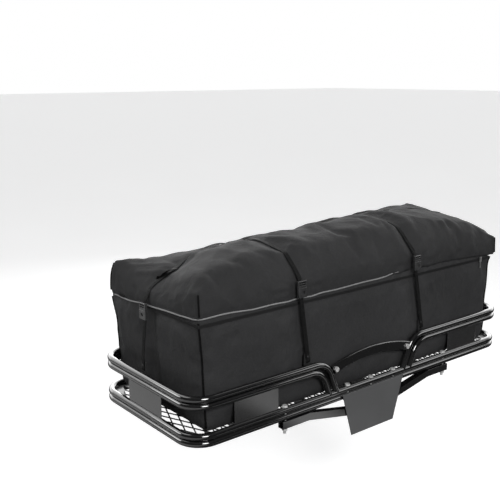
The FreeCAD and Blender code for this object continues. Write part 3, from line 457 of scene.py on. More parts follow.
def ribbon(name, line, out, width=17.5, thick=1.6):
    """Closed strap: line runs along its inner face, out points away from what lies under it."""
    along = tangents(line)
    out = unit_rows(out - along * np.sum(out * along, axis=1, keepdims=True))
    side = np.cross(along, out)
    half, edge = width / 2, STRAP_EDGE
    # across the strap, out from the inner face
    profile = [(-half, edge), (-half, thick - edge), (-half + edge, thick), (-half / 3, thick),
               (half / 3, thick), (half - edge, thick), (half, thick - edge), (half, edge),
               (half - edge, 0), (half / 3, 0), (-half / 3, 0), (-half + edge, 0)]
    metres = distances(line) / 1000
    points, uvs = [], []
    for i in range(len(line)):
        for across, height in profile:
            points.append(line[i] + side[i] * across + out[i] * height)
            uvs.append((metres[i], across / 1000))
    return make_mesh(name, points, loft_faces(len(line), len(profile)), MAT["webbing"],
                     uvs=uvs, recalc=True)


def upper_hull(points):
    """Upper convex hull of 2D points given from left to right, as a taut strap lies."""
    kept = []
    for x, y in points:
        while len(kept) >= 2:
            (x1, y1), (x2, y2) = kept[-2:]
            if (x2 - x1) * (y - y1) - (y2 - y1) * (x - x1) < 0:
                break
            kept.pop()
        kept.append((x, y))
    return np.array(kept)


# ---------------------------------------------------------------- the bag's shape

def lerp(start, end, share):
    return start + (end - start) * share


def spline_kernel(r):
    return np.where(r > 0, r * r * np.log(r + 1e-12), 0)


SPLINE_UNIT = 300.0  # millimetres to one unit of the height spline
SPLINE_SOFTNESS = 1e-4


def height_spline(points, heights):
    """Thin plate spline through the heights; returns it as a function of x and y."""
    knots = np.asarray(points, float) / SPLINE_UNIT
    n = len(knots)
    gaps = np.linalg.norm(knots[:, None] - knots[None], axis=2)
    kernel = spline_kernel(gaps) + SPLINE_SOFTNESS * np.eye(n)
    plane = np.c_[np.ones(n), knots]
    system = np.block([[kernel, plane], [plane.T, np.zeros((3, 3))]])
    weights = np.linalg.solve(system, np.r_[np.asarray(heights, float), 0, 0, 0])

    def height(x, y):
        x, y = np.broadcast_arrays(np.asarray(x, float) / SPLINE_UNIT,
                                   np.asarray(y, float) / SPLINE_UNIT)
        r = np.sqrt((x[..., None] - knots[:, 0]) ** 2 + (y[..., None] - knots[:, 1]) ** 2)
        bend = spline_kernel(r) @ weights[:n]
        return bend + weights[n] + weights[n + 1] * x + weights[n + 2] * y

    return height


# The folds between the lid's top and its four sides, x, y, z.
REAR_FOLD = np.array([
    (-713, -248, 459), (-680, -232, 471), (-620, -215, 487), (-540, -205, 503), (-440, -197, 517),
    (-330, -192, 528), (-200, -188, 532), (0, -182, 536), (120, -178, 538), (235, -174, 539),
    (400, -178, 530), (520, -192, 510), (620, -214, 480), (690, -234, 452), (722, -243, 437),
], float)
FRONT_FOLD = np.array([
    (-720, 240, 474), (-600, 236, 464), (-480, 230, 460), (-330, 218, 463), (-100, 212, 469),
    (100, 210, 477), (300, 210, 490), (500, 210, 506), (650, 208, 519), (722, 205, 524),
], float)
LEFT_FOLD = np.array([
    (-713, -248, 459), (-714, -183, 450), (-711, -102, 435), (-706, -30, 417), (-704, 40, 410),
    (-706, 90, 416), (-711, 134, 424), (-716, 197, 448), (-720, 240, 474),
], float)
RIGHT_FOLD = np.array([
    (722, -243, 437), (723, -195, 457), (722, -122, 473), (721, -22, 489), (721, 83, 505),
    (722, 205, 524),
], float)
# Points on the lid's top, x, y, z.
TOP_POINTS = np.array([
    (-328, -123, 536), (-328, -30, 541), (-328, 45, 514), (-328, 120, 491),
    (235, -122, 547), (235, -30, 558), (235, 30, 551), (235, 66, 536), (235, 130, 508),
    (-50, -100, 539), (-50, 0, 545), (-50, 90, 504), (80, 0, 545),
    (400, -100, 545), (400, 0, 549), (400, 100, 524), (550, -110, 522), (550, 0, 533),
    (550, 100, 521), (640, -110, 500), (640, 0, 512), (640, 100, 514),
    (-676, 40, 432), (-645, 40, 447), (-619, 40, 457), (-588, 42, 464), (-553, 45, 476),
    (-525, 46, 489), (-450, 52, 503), (-390, 60, 508),
    (-680, -203, 483), (-645, -155, 498), (-595, -95, 506), (-520, -20, 511), (-540, -150, 509),
    (-430, -100, 526), (-660, -100, 474), (-640, -40, 462), (-680, 130, 441), (-620, 140, 456),
    (-520, 140, 470), (-420, 150, 478),
], float)
_known = np.vstack([REAR_FOLD, FRONT_FOLD[1:-1], LEFT_FOLD[1:], RIGHT_FOLD[1:], TOP_POINTS])
top_z = height_spline(_known[:, :2], _known[:, 2])

# Height of the seam between tub and lid: x, z along the rear and y, z along the left end.
SEAM_REAR = [(-722, 385), (-622, 384), (-529, 378), (-410, 376.5), (-283, 376.5), (-148, 378),
             (56, 380), (149, 388), (230, 391), (372, 390), (461, 388), (554, 383), (640, 378),
             (700, 371)]
SEAM_LEFT = [(-256, 384), (-159, 375), (-50, 371), (68, 365), (131, 359), (216, 354), (272, 351)]


def seam_z(x, y):
    """Height of the seam round the bag's side, mixed from its four sides by nearness."""
    x, y = np.asarray(x, float), np.asarray(y, float)
    rear = np.interp(x, *zip(*SEAM_REAR))
    left = np.interp(y, *zip(*SEAM_LEFT))
    front = np.interp(x, [-722, -500, -200, 700], [351, 362, 366, 368])
    right = np.interp(y, [-256, 0, 272], [371, 370, 368])
    near_rear, near_front, near_left, near_right = (
        np.maximum(gap, 1) ** -3.0 for gap in (y + 262, 280 - y, x + 728, 700 - x))
    total = rear * near_rear + front * near_front + left * near_left + right * near_right
    return total / (near_rear + near_front + near_left + near_right)


# The bag's lattice: columns along X and Y, rows up the side. Row 0 is the base.
NUM_X, NUM_Y = 100, 38
SEAM_ROW, LID_ROWS = 24, 13
TOP_ROW = SEAM_ROW + LID_ROWS

BASE_Z = 17
# z; x of left and right faces; y of rear and front; how far rear, front, left, right bow out
LEVELS = np.array([
    (BASE_Z, -684, 655, -241, 238, 1, 1, 1, 1),
    (24, -691, 662, -246, 245, 2, 2, 2, 2),
    (50, -693, 668, -248, 250, 2, 4, 3, 4),
    (160, -700, 677, -249, 256, 2, 8, 5, 7),
    (280, -706, 682, -249, 262, 2, 12, 6, 8),
    (345, -711, 685, -249, 267, 1, 8, 4, 6),
    (366, -714, 687, -250, 270, 1, 4, 3, 4),
], float)
TUB_TOP_Z = 366

STRAP_X = (-328.0, 232.0)  # the two cross straps at the buckles
STRAP_FOOT_X = (-289.0, 278.0)  # and at the rails
END_STRAP_Y = 20
OVERHANG = 29.0  # how far the lid's right edge hangs clear of the tub


def level_point(u, v, z):
    """Point of the tub's side at height z; u and v are the shares along X and Y."""
    left, right, rear, front, bow_rear, bow_front, bow_left, bow_right = (
        np.interp(z, LEVELS[:, 0], LEVELS[:, i]) for i in range(1, 9))
    x, y = lerp(left, right, u), lerp(rear, front, v)

    def bow(share):
        return math.sin(math.pi * share) ** 0.8 if 0 < share < 1 else 0.0

    if v == 0:
        y -= bow_rear * bow(u)
    if v == 1:
        y += bow_front * bow(u)
    if u == 0:
        x -= bow_left * bow(v)
    if u == 1:
        x += bow_right * bow(v)
    # the rear right upright edge is full
    x += 15.0 * u ** 12 * math.exp(-max(0.0, y - rear) / 60.0) * min(1.0, z / 60.0)
    return x, y


def along_curve(curve, share, axis):
    """Point on a fold curve at a share of its span along the given axis."""
    at = lerp(curve[0, axis], curve[-1, axis], share)
    return np.array([np.interp(at, curve[:, axis], curve[:, i]) for i in range(3)])


def fold_point(u, v):
    if v in (0, 1):
        point = along_curve(FRONT_FOLD if v else REAR_FOLD, u, 0)
    else:
        point = along_curve(RIGHT_FOLD if u else LEFT_FOLD, v, 1)
    point[2] = float(top_z(point[0], point[1]))
    return point


def lid_overhang(u, y):
    """The lid's edge hangs clear at the right end, except where the end strap holds it in."""
    free = OVERHANG * (1 - math.exp(-((y - END_STRAP_Y) / 95.0) ** 2))
    return free * max(0.0, (u - 0.80) / 0.20) ** 1.3


def side_point(u, v, row):
    """Point on the bag's side at a lattice row."""
    seam_x, seam_y = level_point(u, v, TUB_TOP_Z)
    z_seam = float(seam_z(seam_x, seam_y))
    overhang = lid_overhang(u, seam_y)
    if row <= SEAM_ROW:
        z = lerp(BASE_Z, z_seam, (row / SEAM_ROW) ** 0.92)
        x, y = level_point(u, v, min(z, TUB_TOP_Z))
        if row == SEAM_ROW:
            x += overhang
        return np.array([x, y, z])
    rise = (row - SEAM_ROW) / LID_ROWS
    fold = fold_point(u, v)
    seam = np.array([seam_x + overhang, seam_y, z_seam])
    # how much of the way in from the seam to the fold is done at this height, along x and y
    if u == 1:
        early = min(1.0, rise / 0.45)
        inward = np.array([early * early * (3 - 2 * early), 0.0 if v == 0 else rise, 0])
    elif v in (0, 1):
        late = (max(0.0, (rise - 0.33) / 0.67)) ** 1.45
        near_right = max(0.0, (u - 0.93) / 0.07)
        inward = np.array([lerp(late, min(1.0, rise / 0.45), near_right), late, 0])
    else:
        inward = np.array([rise ** 1.6, rise ** 1.6, 0])
    point = seam + (fold - seam) * inward
    point[2] = lerp(z_seam, fold[2], rise)
    swell = math.sin(math.pi * min(1, rise * 1.15)) * 4.0
    if v == 0:
        point[1] -= swell * (0.4 if u < 0.05 or u > 0.95 else 1.0)
    if v == 1:
        point[1] += swell
    return point


def bag_lattice():
    """Closed bag: number of each (i, j, row), the points, the quads, and which are lid."""
    index, points = {}, []

    def put(key, point):
        index[key] = len(points)
        points.append(np.asarray(point, float))

    def at(*key):
        return points[index[key]]

    for row in range(TOP_ROW + 1):
        for i in range(NUM_X + 1):
            for j in range(NUM_Y + 1):
                if i in (0, NUM_X) or j in (0, NUM_Y):
                    put((i, j, row), side_point(i / NUM_X, j / NUM_Y, row))
    for i in range(1, NUM_X):
        for j in range(1, NUM_Y):
            u, v = i / NUM_X, j / NUM_Y

            def across(j_line, row):
                """x on the straight line between the two ends of a line along X."""
                return lerp(at(0, j_line, row)[0], at(NUM_X, j_line, row)[0], u)

            rear, front = at(i, 0, TOP_ROW), at(i, NUM_Y, TOP_ROW)
            x = across(j, TOP_ROW) + lerp(rear[0] - across(0, TOP_ROW),
                                          front[0] - across(NUM_Y, TOP_ROW), v)
            y = lerp(rear[1], front[1], v)
            put((i, j, TOP_ROW), (x, y, float(top_z(x, y))))
            base_y = lerp(at(i, 0, 0)[1], at(i, NUM_Y, 0)[1], v)
            put((i, j, 0), (across(j, 0), base_y, BASE_Z))
    faces, is_lid = [], []

    def quad(*keys, lid):
        faces.append(tuple(index[key] for key in keys))
        is_lid.append(lid)

    for k in range(TOP_ROW):
        up = k >= SEAM_ROW
        for i in range(NUM_X):
            quad((i, 0, k), (i + 1, 0, k), (i + 1, 0, k + 1), (i, 0, k + 1), lid=up)
            quad((i + 1, NUM_Y, k), (i, NUM_Y, k), (i, NUM_Y, k + 1), (i + 1, NUM_Y, k + 1),
                 lid=up)
        for j in range(NUM_Y):
            quad((0, j + 1, k), (0, j, k), (0, j, k + 1), (0, j + 1, k + 1), lid=up)
            quad((NUM_X, j, k), (NUM_X, j + 1, k), (NUM_X, j + 1, k + 1), (NUM_X, j, k + 1),
                 lid=up)
    k = TOP_ROW
    for i in range(NUM_X):
        for j in range(NUM_Y):
            quad((i, j, k), (i + 1, j, k), (i + 1, j + 1, k), (i, j + 1, k), lid=True)
            quad((i, j + 1, 0), (i + 1, j + 1, 0), (i + 1, j, 0), (i, j, 0), lid=False)
    return index, np.array(points), faces, np.array(is_lid)


def neighbours(faces):
    """Every pair of joined points, both ways round."""
    quads = np.array(faces)
    pairs = np.vstack([quads[:, [0, 1]], quads[:, [1, 2]], quads[:, [2, 3]], quads[:, [3, 0]]])
    pairs = np.unique(np.sort(pairs, axis=1), axis=0)
    return np.vstack([pairs, pairs[:, ::-1]])


INDEX, LATTICE, FACES, IS_LID = bag_lattice()
KEYS = list(INDEX)
EDGES = neighbours(FACES)


def relax(points, amount, times):
    """Moves each point towards the mean of its neighbours, by one amount or one per point."""
    degree = np.bincount(EDGES[:, 0], minlength=len(points))[:, None]
    amount = np.reshape(amount, (-1, 1))
    for _ in range(times):
        total = np.zeros_like(points)
        np.add.at(total, EDGES[:, 0], points[EDGES[:, 1]])
        points = points + amount * (total / degree - points)
    return points


# round the folds a little, least at the lid's right end
LATTICE = relax(LATTICE, [0.12 if i >= NUM_X - 1 and k >= SEAM_ROW - 1 else 0.45
                          for i, j, k in KEYS], 2)
# the front left corner of the lid is the roundest
LATTICE = relax(LATTICE, [0.5 if i < 4 and j > NUM_Y - 4 and k > TOP_ROW - 4 else 0.0
                          for i, j, k in KEYS], 3)
LATTICE[:, 2] = np.maximum(LATTICE[:, 2], BASE_Z)


# ---------------------------------------------------------------- cloth simulation

# y of the line that the lengthwise strap holds down on the lid, by x
HELD_LINE = ([-720, -500, -310, 0, 700], [22, 45, 68, 60, 20])

CLOTH = dict(
    quality=5, mass=0.35,
    tension_stiffness=18, compression_stiffness=14, shear_stiffness=6, bending_stiffness=0.35,
    tension_damping=8, compression_damping=8, shear_damping=8, bending_damping=1.0,
    air_damping=3,
    shrink_min=-0.035,  # cut slightly full
    use_pressure=True, uniform_pressure_force=2.4,
    vertex_group_mass="pin", pin_stiffness=1.0,
)
LAST_FRAME = 20
MOVE_LIMIT = 15.0


def pin_weight(key, point):
    """The strongest hold on a point of the bag."""
    i, j, row = key
    x, y, z = point
    at_end, at_face = i in (0, NUM_X), j in (0, NUM_Y)
    side = at_end or at_face
    strap_gap = min(abs(x - strap) for strap in STRAP_X)
    holds = [
        (z < 34, 1.0),
        (side and row == SEAM_ROW, 0.92),
        (side and abs(row - SEAM_ROW) == 1, 0.45),
        (at_end and at_face, 0.85),
        (strap_gap < 17, 0.95),
        (strap_gap < 32, 0.35),
        (z > 400 and abs(y - np.interp(x, *HELD_LINE)) < 16, 0.9),
        (at_end and abs(y - END_STRAP_Y) < 18 and z > 120, 0.8),
    ]
    return max((weight for held, weight in holds if held), default=0.0)


def simulate(points):
    """Closed bag under light inside pressure, so the fabric buckles between its held lines."""
    mesh = bpy.data.meshes.new("bag_sim")
    mesh.from_pydata([tuple(v) for v in to_row(points)], [], FACES)
    mesh.update()
    obj = bpy.data.objects.new("bag_sim", mesh)
    scene = bpy.context.scene
    scene.collection.objects.link(obj)
    group = obj.vertex_groups.new(name="pin")
    for number, key in enumerate(KEYS):
        weight = pin_weight(key, points[number])
        if weight > 0:
            group.add([number], weight, "REPLACE")
    modifier = obj.modifiers.new("Cloth", "CLOTH")
    for name, value in CLOTH.items():
        setattr(modifier.settings, name, value)
    modifier.settings.effector_weights.gravity = 0.0
    modifier.collision_settings.use_collision = False
    modifier.collision_settings.use_self_collision = False
    cache = modifier.point_cache
    cache.frame_start, cache.frame_end = 1, LAST_FRAME
    scene.frame_start, scene.frame_end = 1, LAST_FRAME
    for frame in range(1, LAST_FRAME + 1):
        scene.frame_set(frame)
    evaluated = obj.evaluated_get(bpy.context.evaluated_depsgraph_get())
    moved = np.zeros(len(points) * 3, np.float32)
    evaluated.data.vertices.foreach_get("co", moved)
    moved = to_mm(moved.reshape(-1, 3))
    bpy.data.objects.remove(obj)
    bpy.data.meshes.remove(mesh)
    scene.frame_set(1)
    return moved


def settled_bag():
    """Keeps the wrinkles and takes most of the even swelling off, to hold the outline."""
    move = simulate(LATTICE) - LATTICE
    move[~np.isfinite(move).all(axis=1)] = 0
    size = np.linalg.norm(move, axis=1, keepdims=True)
    move = move * np.minimum(1.0, MOVE_LIMIT / np.maximum(size, 1e-6))
    swelling = relax(move, 0.5, 60)
    share = np.interp(LATTICE[:, 2], [30, 120, 330, 400, 500], [0.5, 0.8, 0.8, 0.7, 0.75])
    return LATTICE + (move - 0.85 * swelling) * share[:, None]


# ---------------------------------------------------------------- listed folds

# Gathers that fan from a cross strap's buckle: height, reach sideways, depth.
BUCKLE_GATHERS = [(34, 95, 2.6), (12, 120, 3.0), (-10, 105, 2.8), (-34, 90, 2.4), (62, 80, 2.0)]
# Tub gathers under the lid, right of the right strap: upper x, z, lower x, z, depth.
RIGHT_GATHERS = [
    (262, 372, 300, 250, 3.2), (288, 372, 322, 235, 3.4), (318, 374, 352, 262, 3.0),
    (350, 374, 372, 200, 2.6), (392, 376, 404, 225, 2.8), (446, 374, 452, 262, 2.6),
    (520, 372, 512, 250, 2.2), (585, 370, 575, 180, 2.0), (640, 366, 628, 220, 2.2),
]
# Slack folds on the rear face: x, z at one end, x, z at the other, depth.
SLACK_FOLDS = [
    (-300, 356, -262, 268, 2.6), (-268, 352, -240, 290, 2.2), (-352, 380, -430, 398, 2.4),
    (-360, 350, -392, 262, 2.2), (206, 372, 150, 300, 2.6), (200, 352, 160, 240, 2.2),
    (186, 396, 96, 352, 2.6), (176, 430, 92, 456, 2.2), (-560, 372, -540, 250, 1.8),
    (-120, 370, -90, 240, 1.6), (40, 372, 28, 230, 1.6),
]
# Upright folds in the lid's rear face near the right end: start, end, width, depth, fade.
LID_UPRIGHTS = [
    ((452, -182, 536), (446, -256, 392), 16, 7.5, 0.15),
    ((486, -182, 534), (492, -256, 388), 14, -6.0, 0.15),
    ((520, -190, 520), (530, -252, 392), 14, 3.5, 0.25),
]
# Diagonal pulls on the lid's left slope: start, end, depth.
SLOPE_PULLS = [
    ((-700, 150, 436), (-600, 30, 462), 4.0), ((-716, 110, 428), (-650, 38, 446), 3.6),
    ((-690, 205, 446), (-560, 70, 472), 3.2), ((-706, -60, 432), (-610, 20, 460), 3.4),
    ((-700, -140, 456), (-560, -10, 488), 3.0), ((-660, -190, 488), (-500, -60, 512), 2.4),
]
# Fold of the lid beside the lengthwise strap: start, end, width, depth, fade.
STRAP_FOLDS = [
    ((-582, 20, 474), (-380, 78, 512), 17, 10.0, 0.18),
    ((-590, 40, 474), (-400, 100, 512), 12, -4.0, 0.2),
]
# Soft uprights on the tub's left end: upper y, lower y, upper z, lower z, depth.
END_UPRIGHTS = [(210, 200, 340, 120, 4.0), (150, 158, 345, 200, 2.5), (60, 72, 350, 150, 3.0),
                (-40, -52, 360, 120, 3.2), (-120, -110, 366, 220, 2.6),
                (-190, -200, 370, 140, 2.8)]


def gauss(distance, width):
    return np.exp(-0.5 * (distance / width) ** 2)


def value_noise(points, scale, seed):
    """Smooth seeded noise about 0, a sum of sines; scale is the wave length."""
    rng = np.random.RandomState(seed)
    total = np.zeros(len(points))
    for _ in range(14):
        heading = rng.normal(size=3)
        heading /= np.linalg.norm(heading)
        frequency = 2 * math.pi / (scale * rng.uniform(0.7, 1.5))
        total += np.sin(points @ heading * frequency + rng.uniform(0, 6.28)) / 14 ** 0.5
    return total


def crease(points, start, end, width, depth, fade):
    """A fold from start to end: positive depth stands out, negative sinks in."""
    start, end = np.array(start, float), np.array(end, float)
    span = end - start
    share = (points - start) @ span / np.linalg.norm(span) ** 2
    nearest = start + np.clip(share, 0, 1)[:, None] * span
    gap = np.linalg.norm(points - nearest, axis=1)
    ends = np.clip(share / fade, 0, 1) * np.clip((1 - share) / fade, 0, 1)
    ends = ends * ends * (3 - 2 * ends)
    return depth * ends * np.exp(-(gap / width) ** 2)


def fold_field(points, normals):
    """How far each point of the bag moves out along its normal."""
    x, y, z = points.T
    rear = np.clip(-normals[:, 1], 0, 1)
    left = np.clip(-normals[:, 0], 0, 1)
    top = np.clip(normals[:, 2], 0, 1)
    above_base = np.clip((z - 20) / 60, 0, 1)
    out = np.zeros(len(points))

    def fold(start, end, width, depth, mask=1.0, fade=0.25):
        nonlocal out
        out = out + crease(points, start, end, width, depth, fade) * mask

    out += 2.6 * value_noise(points * [1, 1, 0.75], scale=210, seed=3) * above_base
    out += 1.3 * value_noise(points * [1, 1, 0.8], scale=95, seed=7) * above_base
    ridged = 1 - np.abs(value_noise(points, scale=120, seed=11))
    out += 1.6 * (ridged ** 3 - 0.3) * above_base
    # straps press a valley into the bag, deepest over the top folds
    for strap_x, foot_x in zip(STRAP_X, STRAP_FOOT_X):
        gap = x - np.interp(z, [150, 374], [foot_x, strap_x])
        press = gauss(gap, 26) * np.interp(z, [40, 160, 340, 420, 540], [0, 3, 4, 7, 8])
        press += gauss(gap, 20) * 7 * gauss(y + 188, 34) * (z > 440)
        press += gauss(gap, 20) * 6 * gauss(y - 212, 34) * (z > 430)
        out -= press
        out += 2.2 * gauss(np.abs(gap) - 62, 24) * above_base
        for side in (-1, 1):
            for height, reach, depth in BUCKLE_GATHERS:
                start = (strap_x + side * 16, -256, 408 + height * 0.35)
                z_end = 408 + height * 2.0 - 8
                fold(start, (strap_x + side * reach, -256, z_end), 8.5, depth, rear)
                fold(start, (strap_x + side * reach * 0.96, -256, z_end - 15), 8.0,
                     -depth * 0.7, rear)
    for x1, z1, x2, z2, depth in RIGHT_GATHERS:
        depth *= 1.15 if x1 < 400 else 0.5
        fold((x1, -254, z1), (x2, -254, z2), 10, depth, rear)
        fold((x1 + 15, -254, z1), (x2 + 14, -254, z2), 9, -depth * 0.8, rear)
    for x1, z1, x2, z2, depth in SLACK_FOLDS:
        fold((x1, -254, z1), (x2, -254, z2), 12, depth * 0.7, rear)
        fold((x1 + 18, -254, z1), (x2 + 18, -254, z2), 10, -depth * 0.4, rear)
    for start, end, width, depth, fade in LID_UPRIGHTS:
        fold(start, end, width, depth, z > 380, fade)
    for start, end, depth in SLOPE_PULLS:
        fold(start, end, 11, depth * 1.35)
        beside = np.array([14, -10, 0])
        fold(start + beside, end + beside, 10, -depth * 1.05)
    for start, end, width, depth, fade in STRAP_FOLDS:
        fold(start, end, width, depth, z > 430, fade)
    for y1, y2, z1, z2, depth in END_UPRIGHTS:
        fold((-706, y1, z1), (-700, y2, z2), 16, depth * 0.5, left)
        fold((-706, y1 + 24, z1), (-700, y2 + 24, z2), 14, -depth * 0.35, left)
    # the left end strap's valley in the tub
    out -= 5.0 * gauss(y - END_STRAP_Y, 26) * left * np.clip((z - 120) / 80, 0, 1) * (z < 360)
    # the fabric is drawn in just above and below the seam
    out -= 2.4 * gauss(z - seam_z(x, y), 7) * np.clip(1.3 - 1.6 * top, 0, 1)
    return out


BUCKLE_FOOT_Z = 374
BUCKLE_LEAN = math.tan(math.radians(4.9))


def build_bag():
    """Subdivided bag with its folds: points, quads and part number (0 tub, 1 lid) per quad."""
    mesh = bpy.data.meshes.new("bag_full")
    mesh.from_pydata([tuple(v) for v in settled_bag()], [], FACES)
    mesh.polygons.foreach_set("material_index", IS_LID.astype(np.int32))
    mesh.update()
    obj = bpy.data.objects.new("bag_full", mesh)
    for part in ("tub", "lid"):
        mesh.materials.append(bpy.data.materials.new(part))
    bpy.context.scene.collection.objects.link(obj)
    subdivision = obj.modifiers.new("Subdivision", "SUBSURF")
    subdivision.levels = subdivision.render_levels = 1
    depsgraph = bpy.context.evaluated_depsgraph_get()
    full = bpy.data.meshes.new_from_object(obj.evaluated_get(depsgraph))
    bpy.data.objects.remove(obj)
    count = len(full.vertices)
    points = np.zeros(count * 3)
    full.vertices.foreach_get("co", points)
    points = points.reshape(-1, 3)
    normals = np.zeros(count * 3, np.float32)
    full.vertex_normals.foreach_get("vector", normals)
    normals = normals.reshape(-1, 3).astype(float)
    points = points + normals * fold_field(points, normals)[:, None]
    x, y, z = points.T
    # keep the zip's lane free
    rear = y < -200
    lane = np.interp(z, [300, 322, 330, 374, 390, 400], [-262, -257.2, -254.0, -254.0, -259.0, -400])
    soft = 2.5
    over = rear & (y < lane + soft)
    points[over, 1] = lane[over] + soft - soft * np.tanh((lane[over] + soft - y[over]) / soft)
    # and the buckles' lanes
    for strap_x in STRAP_X:
        near = rear & (z >= BUCKLE_FOOT_Z) & (np.abs(x - strap_x) < 24) & (z < 450)
        limit = -262.0 + (z - BUCKLE_FOOT_Z) * BUCKLE_LEAN + 1.2
        points[near, 1] = np.maximum(points[near, 1], limit[near])
    # the right end strap holds the lid's end in, clear of its buckle
    held = np.interp(z, [355, 408, 470, 500], [692.5, 693.5, 712, 730])
    grip = np.exp(-((y - END_STRAP_Y) / 44) ** 2) * (x > 600) * (z > 340)
    points[:, 0] -= grip * np.maximum(0, points[:, 0] - held)
    points[:, 2] = np.maximum(points[:, 2], BASE_Z)
    quads = np.zeros(len(full.polygons) * 4, np.int32)
    full.polygons.foreach_get("vertices", quads)
    part = np.zeros(len(full.polygons), np.int32)
    full.polygons.foreach_get("material_index", part)
    return points, quads.reshape(-1, 4), part


BAG, QUADS, PART = build_bag()

# ---------------------------------------------------------------- tub and lid

BAG_CENTRE = np.array([-15.0, 8.0])  # x, y
BAG_HALF = np.array([705, 258])
REAR_SEAM_Y = -225  # the rear seam lies behind this


def lid_lip(points, seam, front):
    """Drops and puckers the lid's lower edge; returns how far each point moves out."""
    x, y, z = points.T

    def near_seam(reach):
        return np.exp(-np.maximum(z - seam, 0) / reach)

    rear = y < REAR_SEAM_Y
    amount = 3.2 * near_seam(16) * np.where(front, 0, 1)
    amount *= np.where(z < 470, 1, 0)
    drop = np.interp(x, [40, 150, 250, 690], [0, 5.5, 7.0, 4.5]) * rear
    z -= drop * near_seam(12)
    pucker = np.interp(x, [232, 262, 420, 560, 700], [0, 1, 1, 0.6, 0.3]) * rear
    wave = np.sin(x / 6.4 + 0.9 * np.sin(x / 23.0)) + 0.5 * np.sin(x / 3.7 + 1.0)
    near = near_seam(16)
    z += 1.7 * pucker * wave * near
    amount = amount + 1.3 * pucker * wave * near
    return amount + 0.25 * drop * near_seam(12)


def tub_lip(points, seam):
    """Pulls the tub's right edge in under the lid; returns how far each point moves out."""
    x, y, z = points.T
    amount = -2.6 * np.exp(-np.maximum(seam - z, 0) / 14)
    start, end = 560, 686.0
    edge = (x > start) & (z > seam - 24)
    squeezed = start + (x - start) * (end - start) / (end + OVERHANG - start)
    corner = 14.0 * np.exp(-np.maximum(y + 250, 0) / 55.0)
    at_seam = np.minimum(squeezed, 687.0 + corner)
    below = np.minimum(x, 689.0 + corner)
    x[edge] = np.where(z > seam - 10, at_seam, below)[edge]
    return amount


def shape_lip(points, upper):
    """The lid's lip stands a little proud of the tub's edge."""
    seam = seam_z(points[:, 0], points[:, 1])
    share = (points[:, :2] - BAG_CENTRE) / BAG_HALF
    # outward on the nearest face of the bag
    out = np.where(np.abs(share[:, :1]) > np.abs(share[:, 1:]),
                   np.sign(share) * [1, 0], np.sign(share) * [0, 1])
    # both edges stay behind the hinge line on the vehicle side; a fabric flap spans the gap
    front = points[:, 1] > 190
    away = np.abs(points[:, 2] - seam)
    limit = 266.5 + 0.10 * away if upper else 264.0 + 0.16 * away
    close = front & (away < 90)
    points[close, 1] = np.minimum(points[close, 1], limit[close])
    amount = lid_lip(points, seam, front) if upper else tub_lip(points, seam)
    points[:, :2] += out * amount[:, None]


def shell(name, part, slot, body, node):
    """One part of the bag: its points, its faces and their numbers in the whole bag."""
    quads = QUADS[PART == part]
    used = np.unique(quads)
    faces = [tuple(int(v) for v in quad) for quad in np.searchsorted(used, quads)]
    points = BAG[used].copy()
    shape_lip(points, upper=part == 1)
    obj = make_mesh(name, points, faces, MAT[slot])
    fabric = obj.modifiers.new("Fabric", "SOLIDIFY")
    fabric.thickness = 2.6 / 1000
    fabric.offset = -1
    fabric.use_even_offset = False
    register(obj, body, node)
    return points, faces, used


TUB = shell("cargo_bag_tub", 0, "bag_fabric", "carrier", "bag_tub")
LID = shell("cargo_bag_lid", 1, "lid_fabric", "bag_lid", "bag_lid")


def joined(first, second):
    """Points and faces of two meshes as one."""
    shift = len(first[0])
    moved = [tuple(v + shift for v in face) for face in second[1]]
    return np.vstack([first[0], second[0]]), first[1] + moved


def search_tree(mesh):
    return BVHTree.FromPolygons([Vector(v) for v in mesh[0]], mesh[1])


BAG_SURFACE = joined(TUB, LID)
surface_tree = search_tree(BAG_SURFACE)  # what hit() finds; the lengthwise strap joins it later


def hit(start, direction):
    spot = surface_tree.ray_cast(Vector(start), Vector(direction).normalized(), 2000.0)[0]
    return None if spot is None else np.array(spot)


# ---------------------------------------------------------------- piping, corner seams

def shell_line(part, keys):
    """The finished points of a part at the given lattice keys."""
    points, _, used = part
    return np.array([points[np.searchsorted(used, INDEX[key])] for key in keys])


def outward(line):
    """Horizontal direction away from the bag, turning smoothly round its corners."""
    share = (line[:, :2] - BAG_CENTRE) / BAG_HALF
    out = np.sign(share) * np.abs(share) ** 9 / BAG_HALF
    out /= np.linalg.norm(out, axis=1, keepdims=True)
    return np.c_[out, np.zeros(len(line))]


def add_piping():
    """Cord along the lid's edge round the left, rear and right sides, with its flange."""
    keys = [(0, j, SEAM_ROW) for j in range(NUM_Y - 2, 0, -1)]
    keys += [(i, 0, SEAM_ROW) for i in range(NUM_X)]
    keys += [(NUM_X, j, SEAM_ROW) for j in range(NUM_Y - 1)]
    cord = smooth_line(resample(shell_line(LID, keys), 7), 3)
    x, y = cord[:, :1], cord[:, 1:2]
    tuck = np.interp(x, [40, 130, 240], [1.0, -2.4, -4.6])
    rise = np.interp(x, [40, 130, 240, 700], [0.0, 5.0, 7.0, 5.0])
    rise = rise * np.where(y < REAR_SEAM_Y, 1, 0.4)
    cord = cord + outward(cord) * tuck + rise * [0, 0, 1.0] + [0, 0, -0.6]
    piping = tube("lid_piping_cord", cord, radius=2.4, mat=MAT["piping"], sides=10)
    register(piping, "bag_lid", "lid_piping")
    flange_line = cord + [0, 0, 4.2] - outward(cord) * 1.5
    flange = tube("lid_piping_flange", flange_line, radius=2.0, mat=MAT["lid_fabric"], sides=8)
    register(flange, "bag_lid")


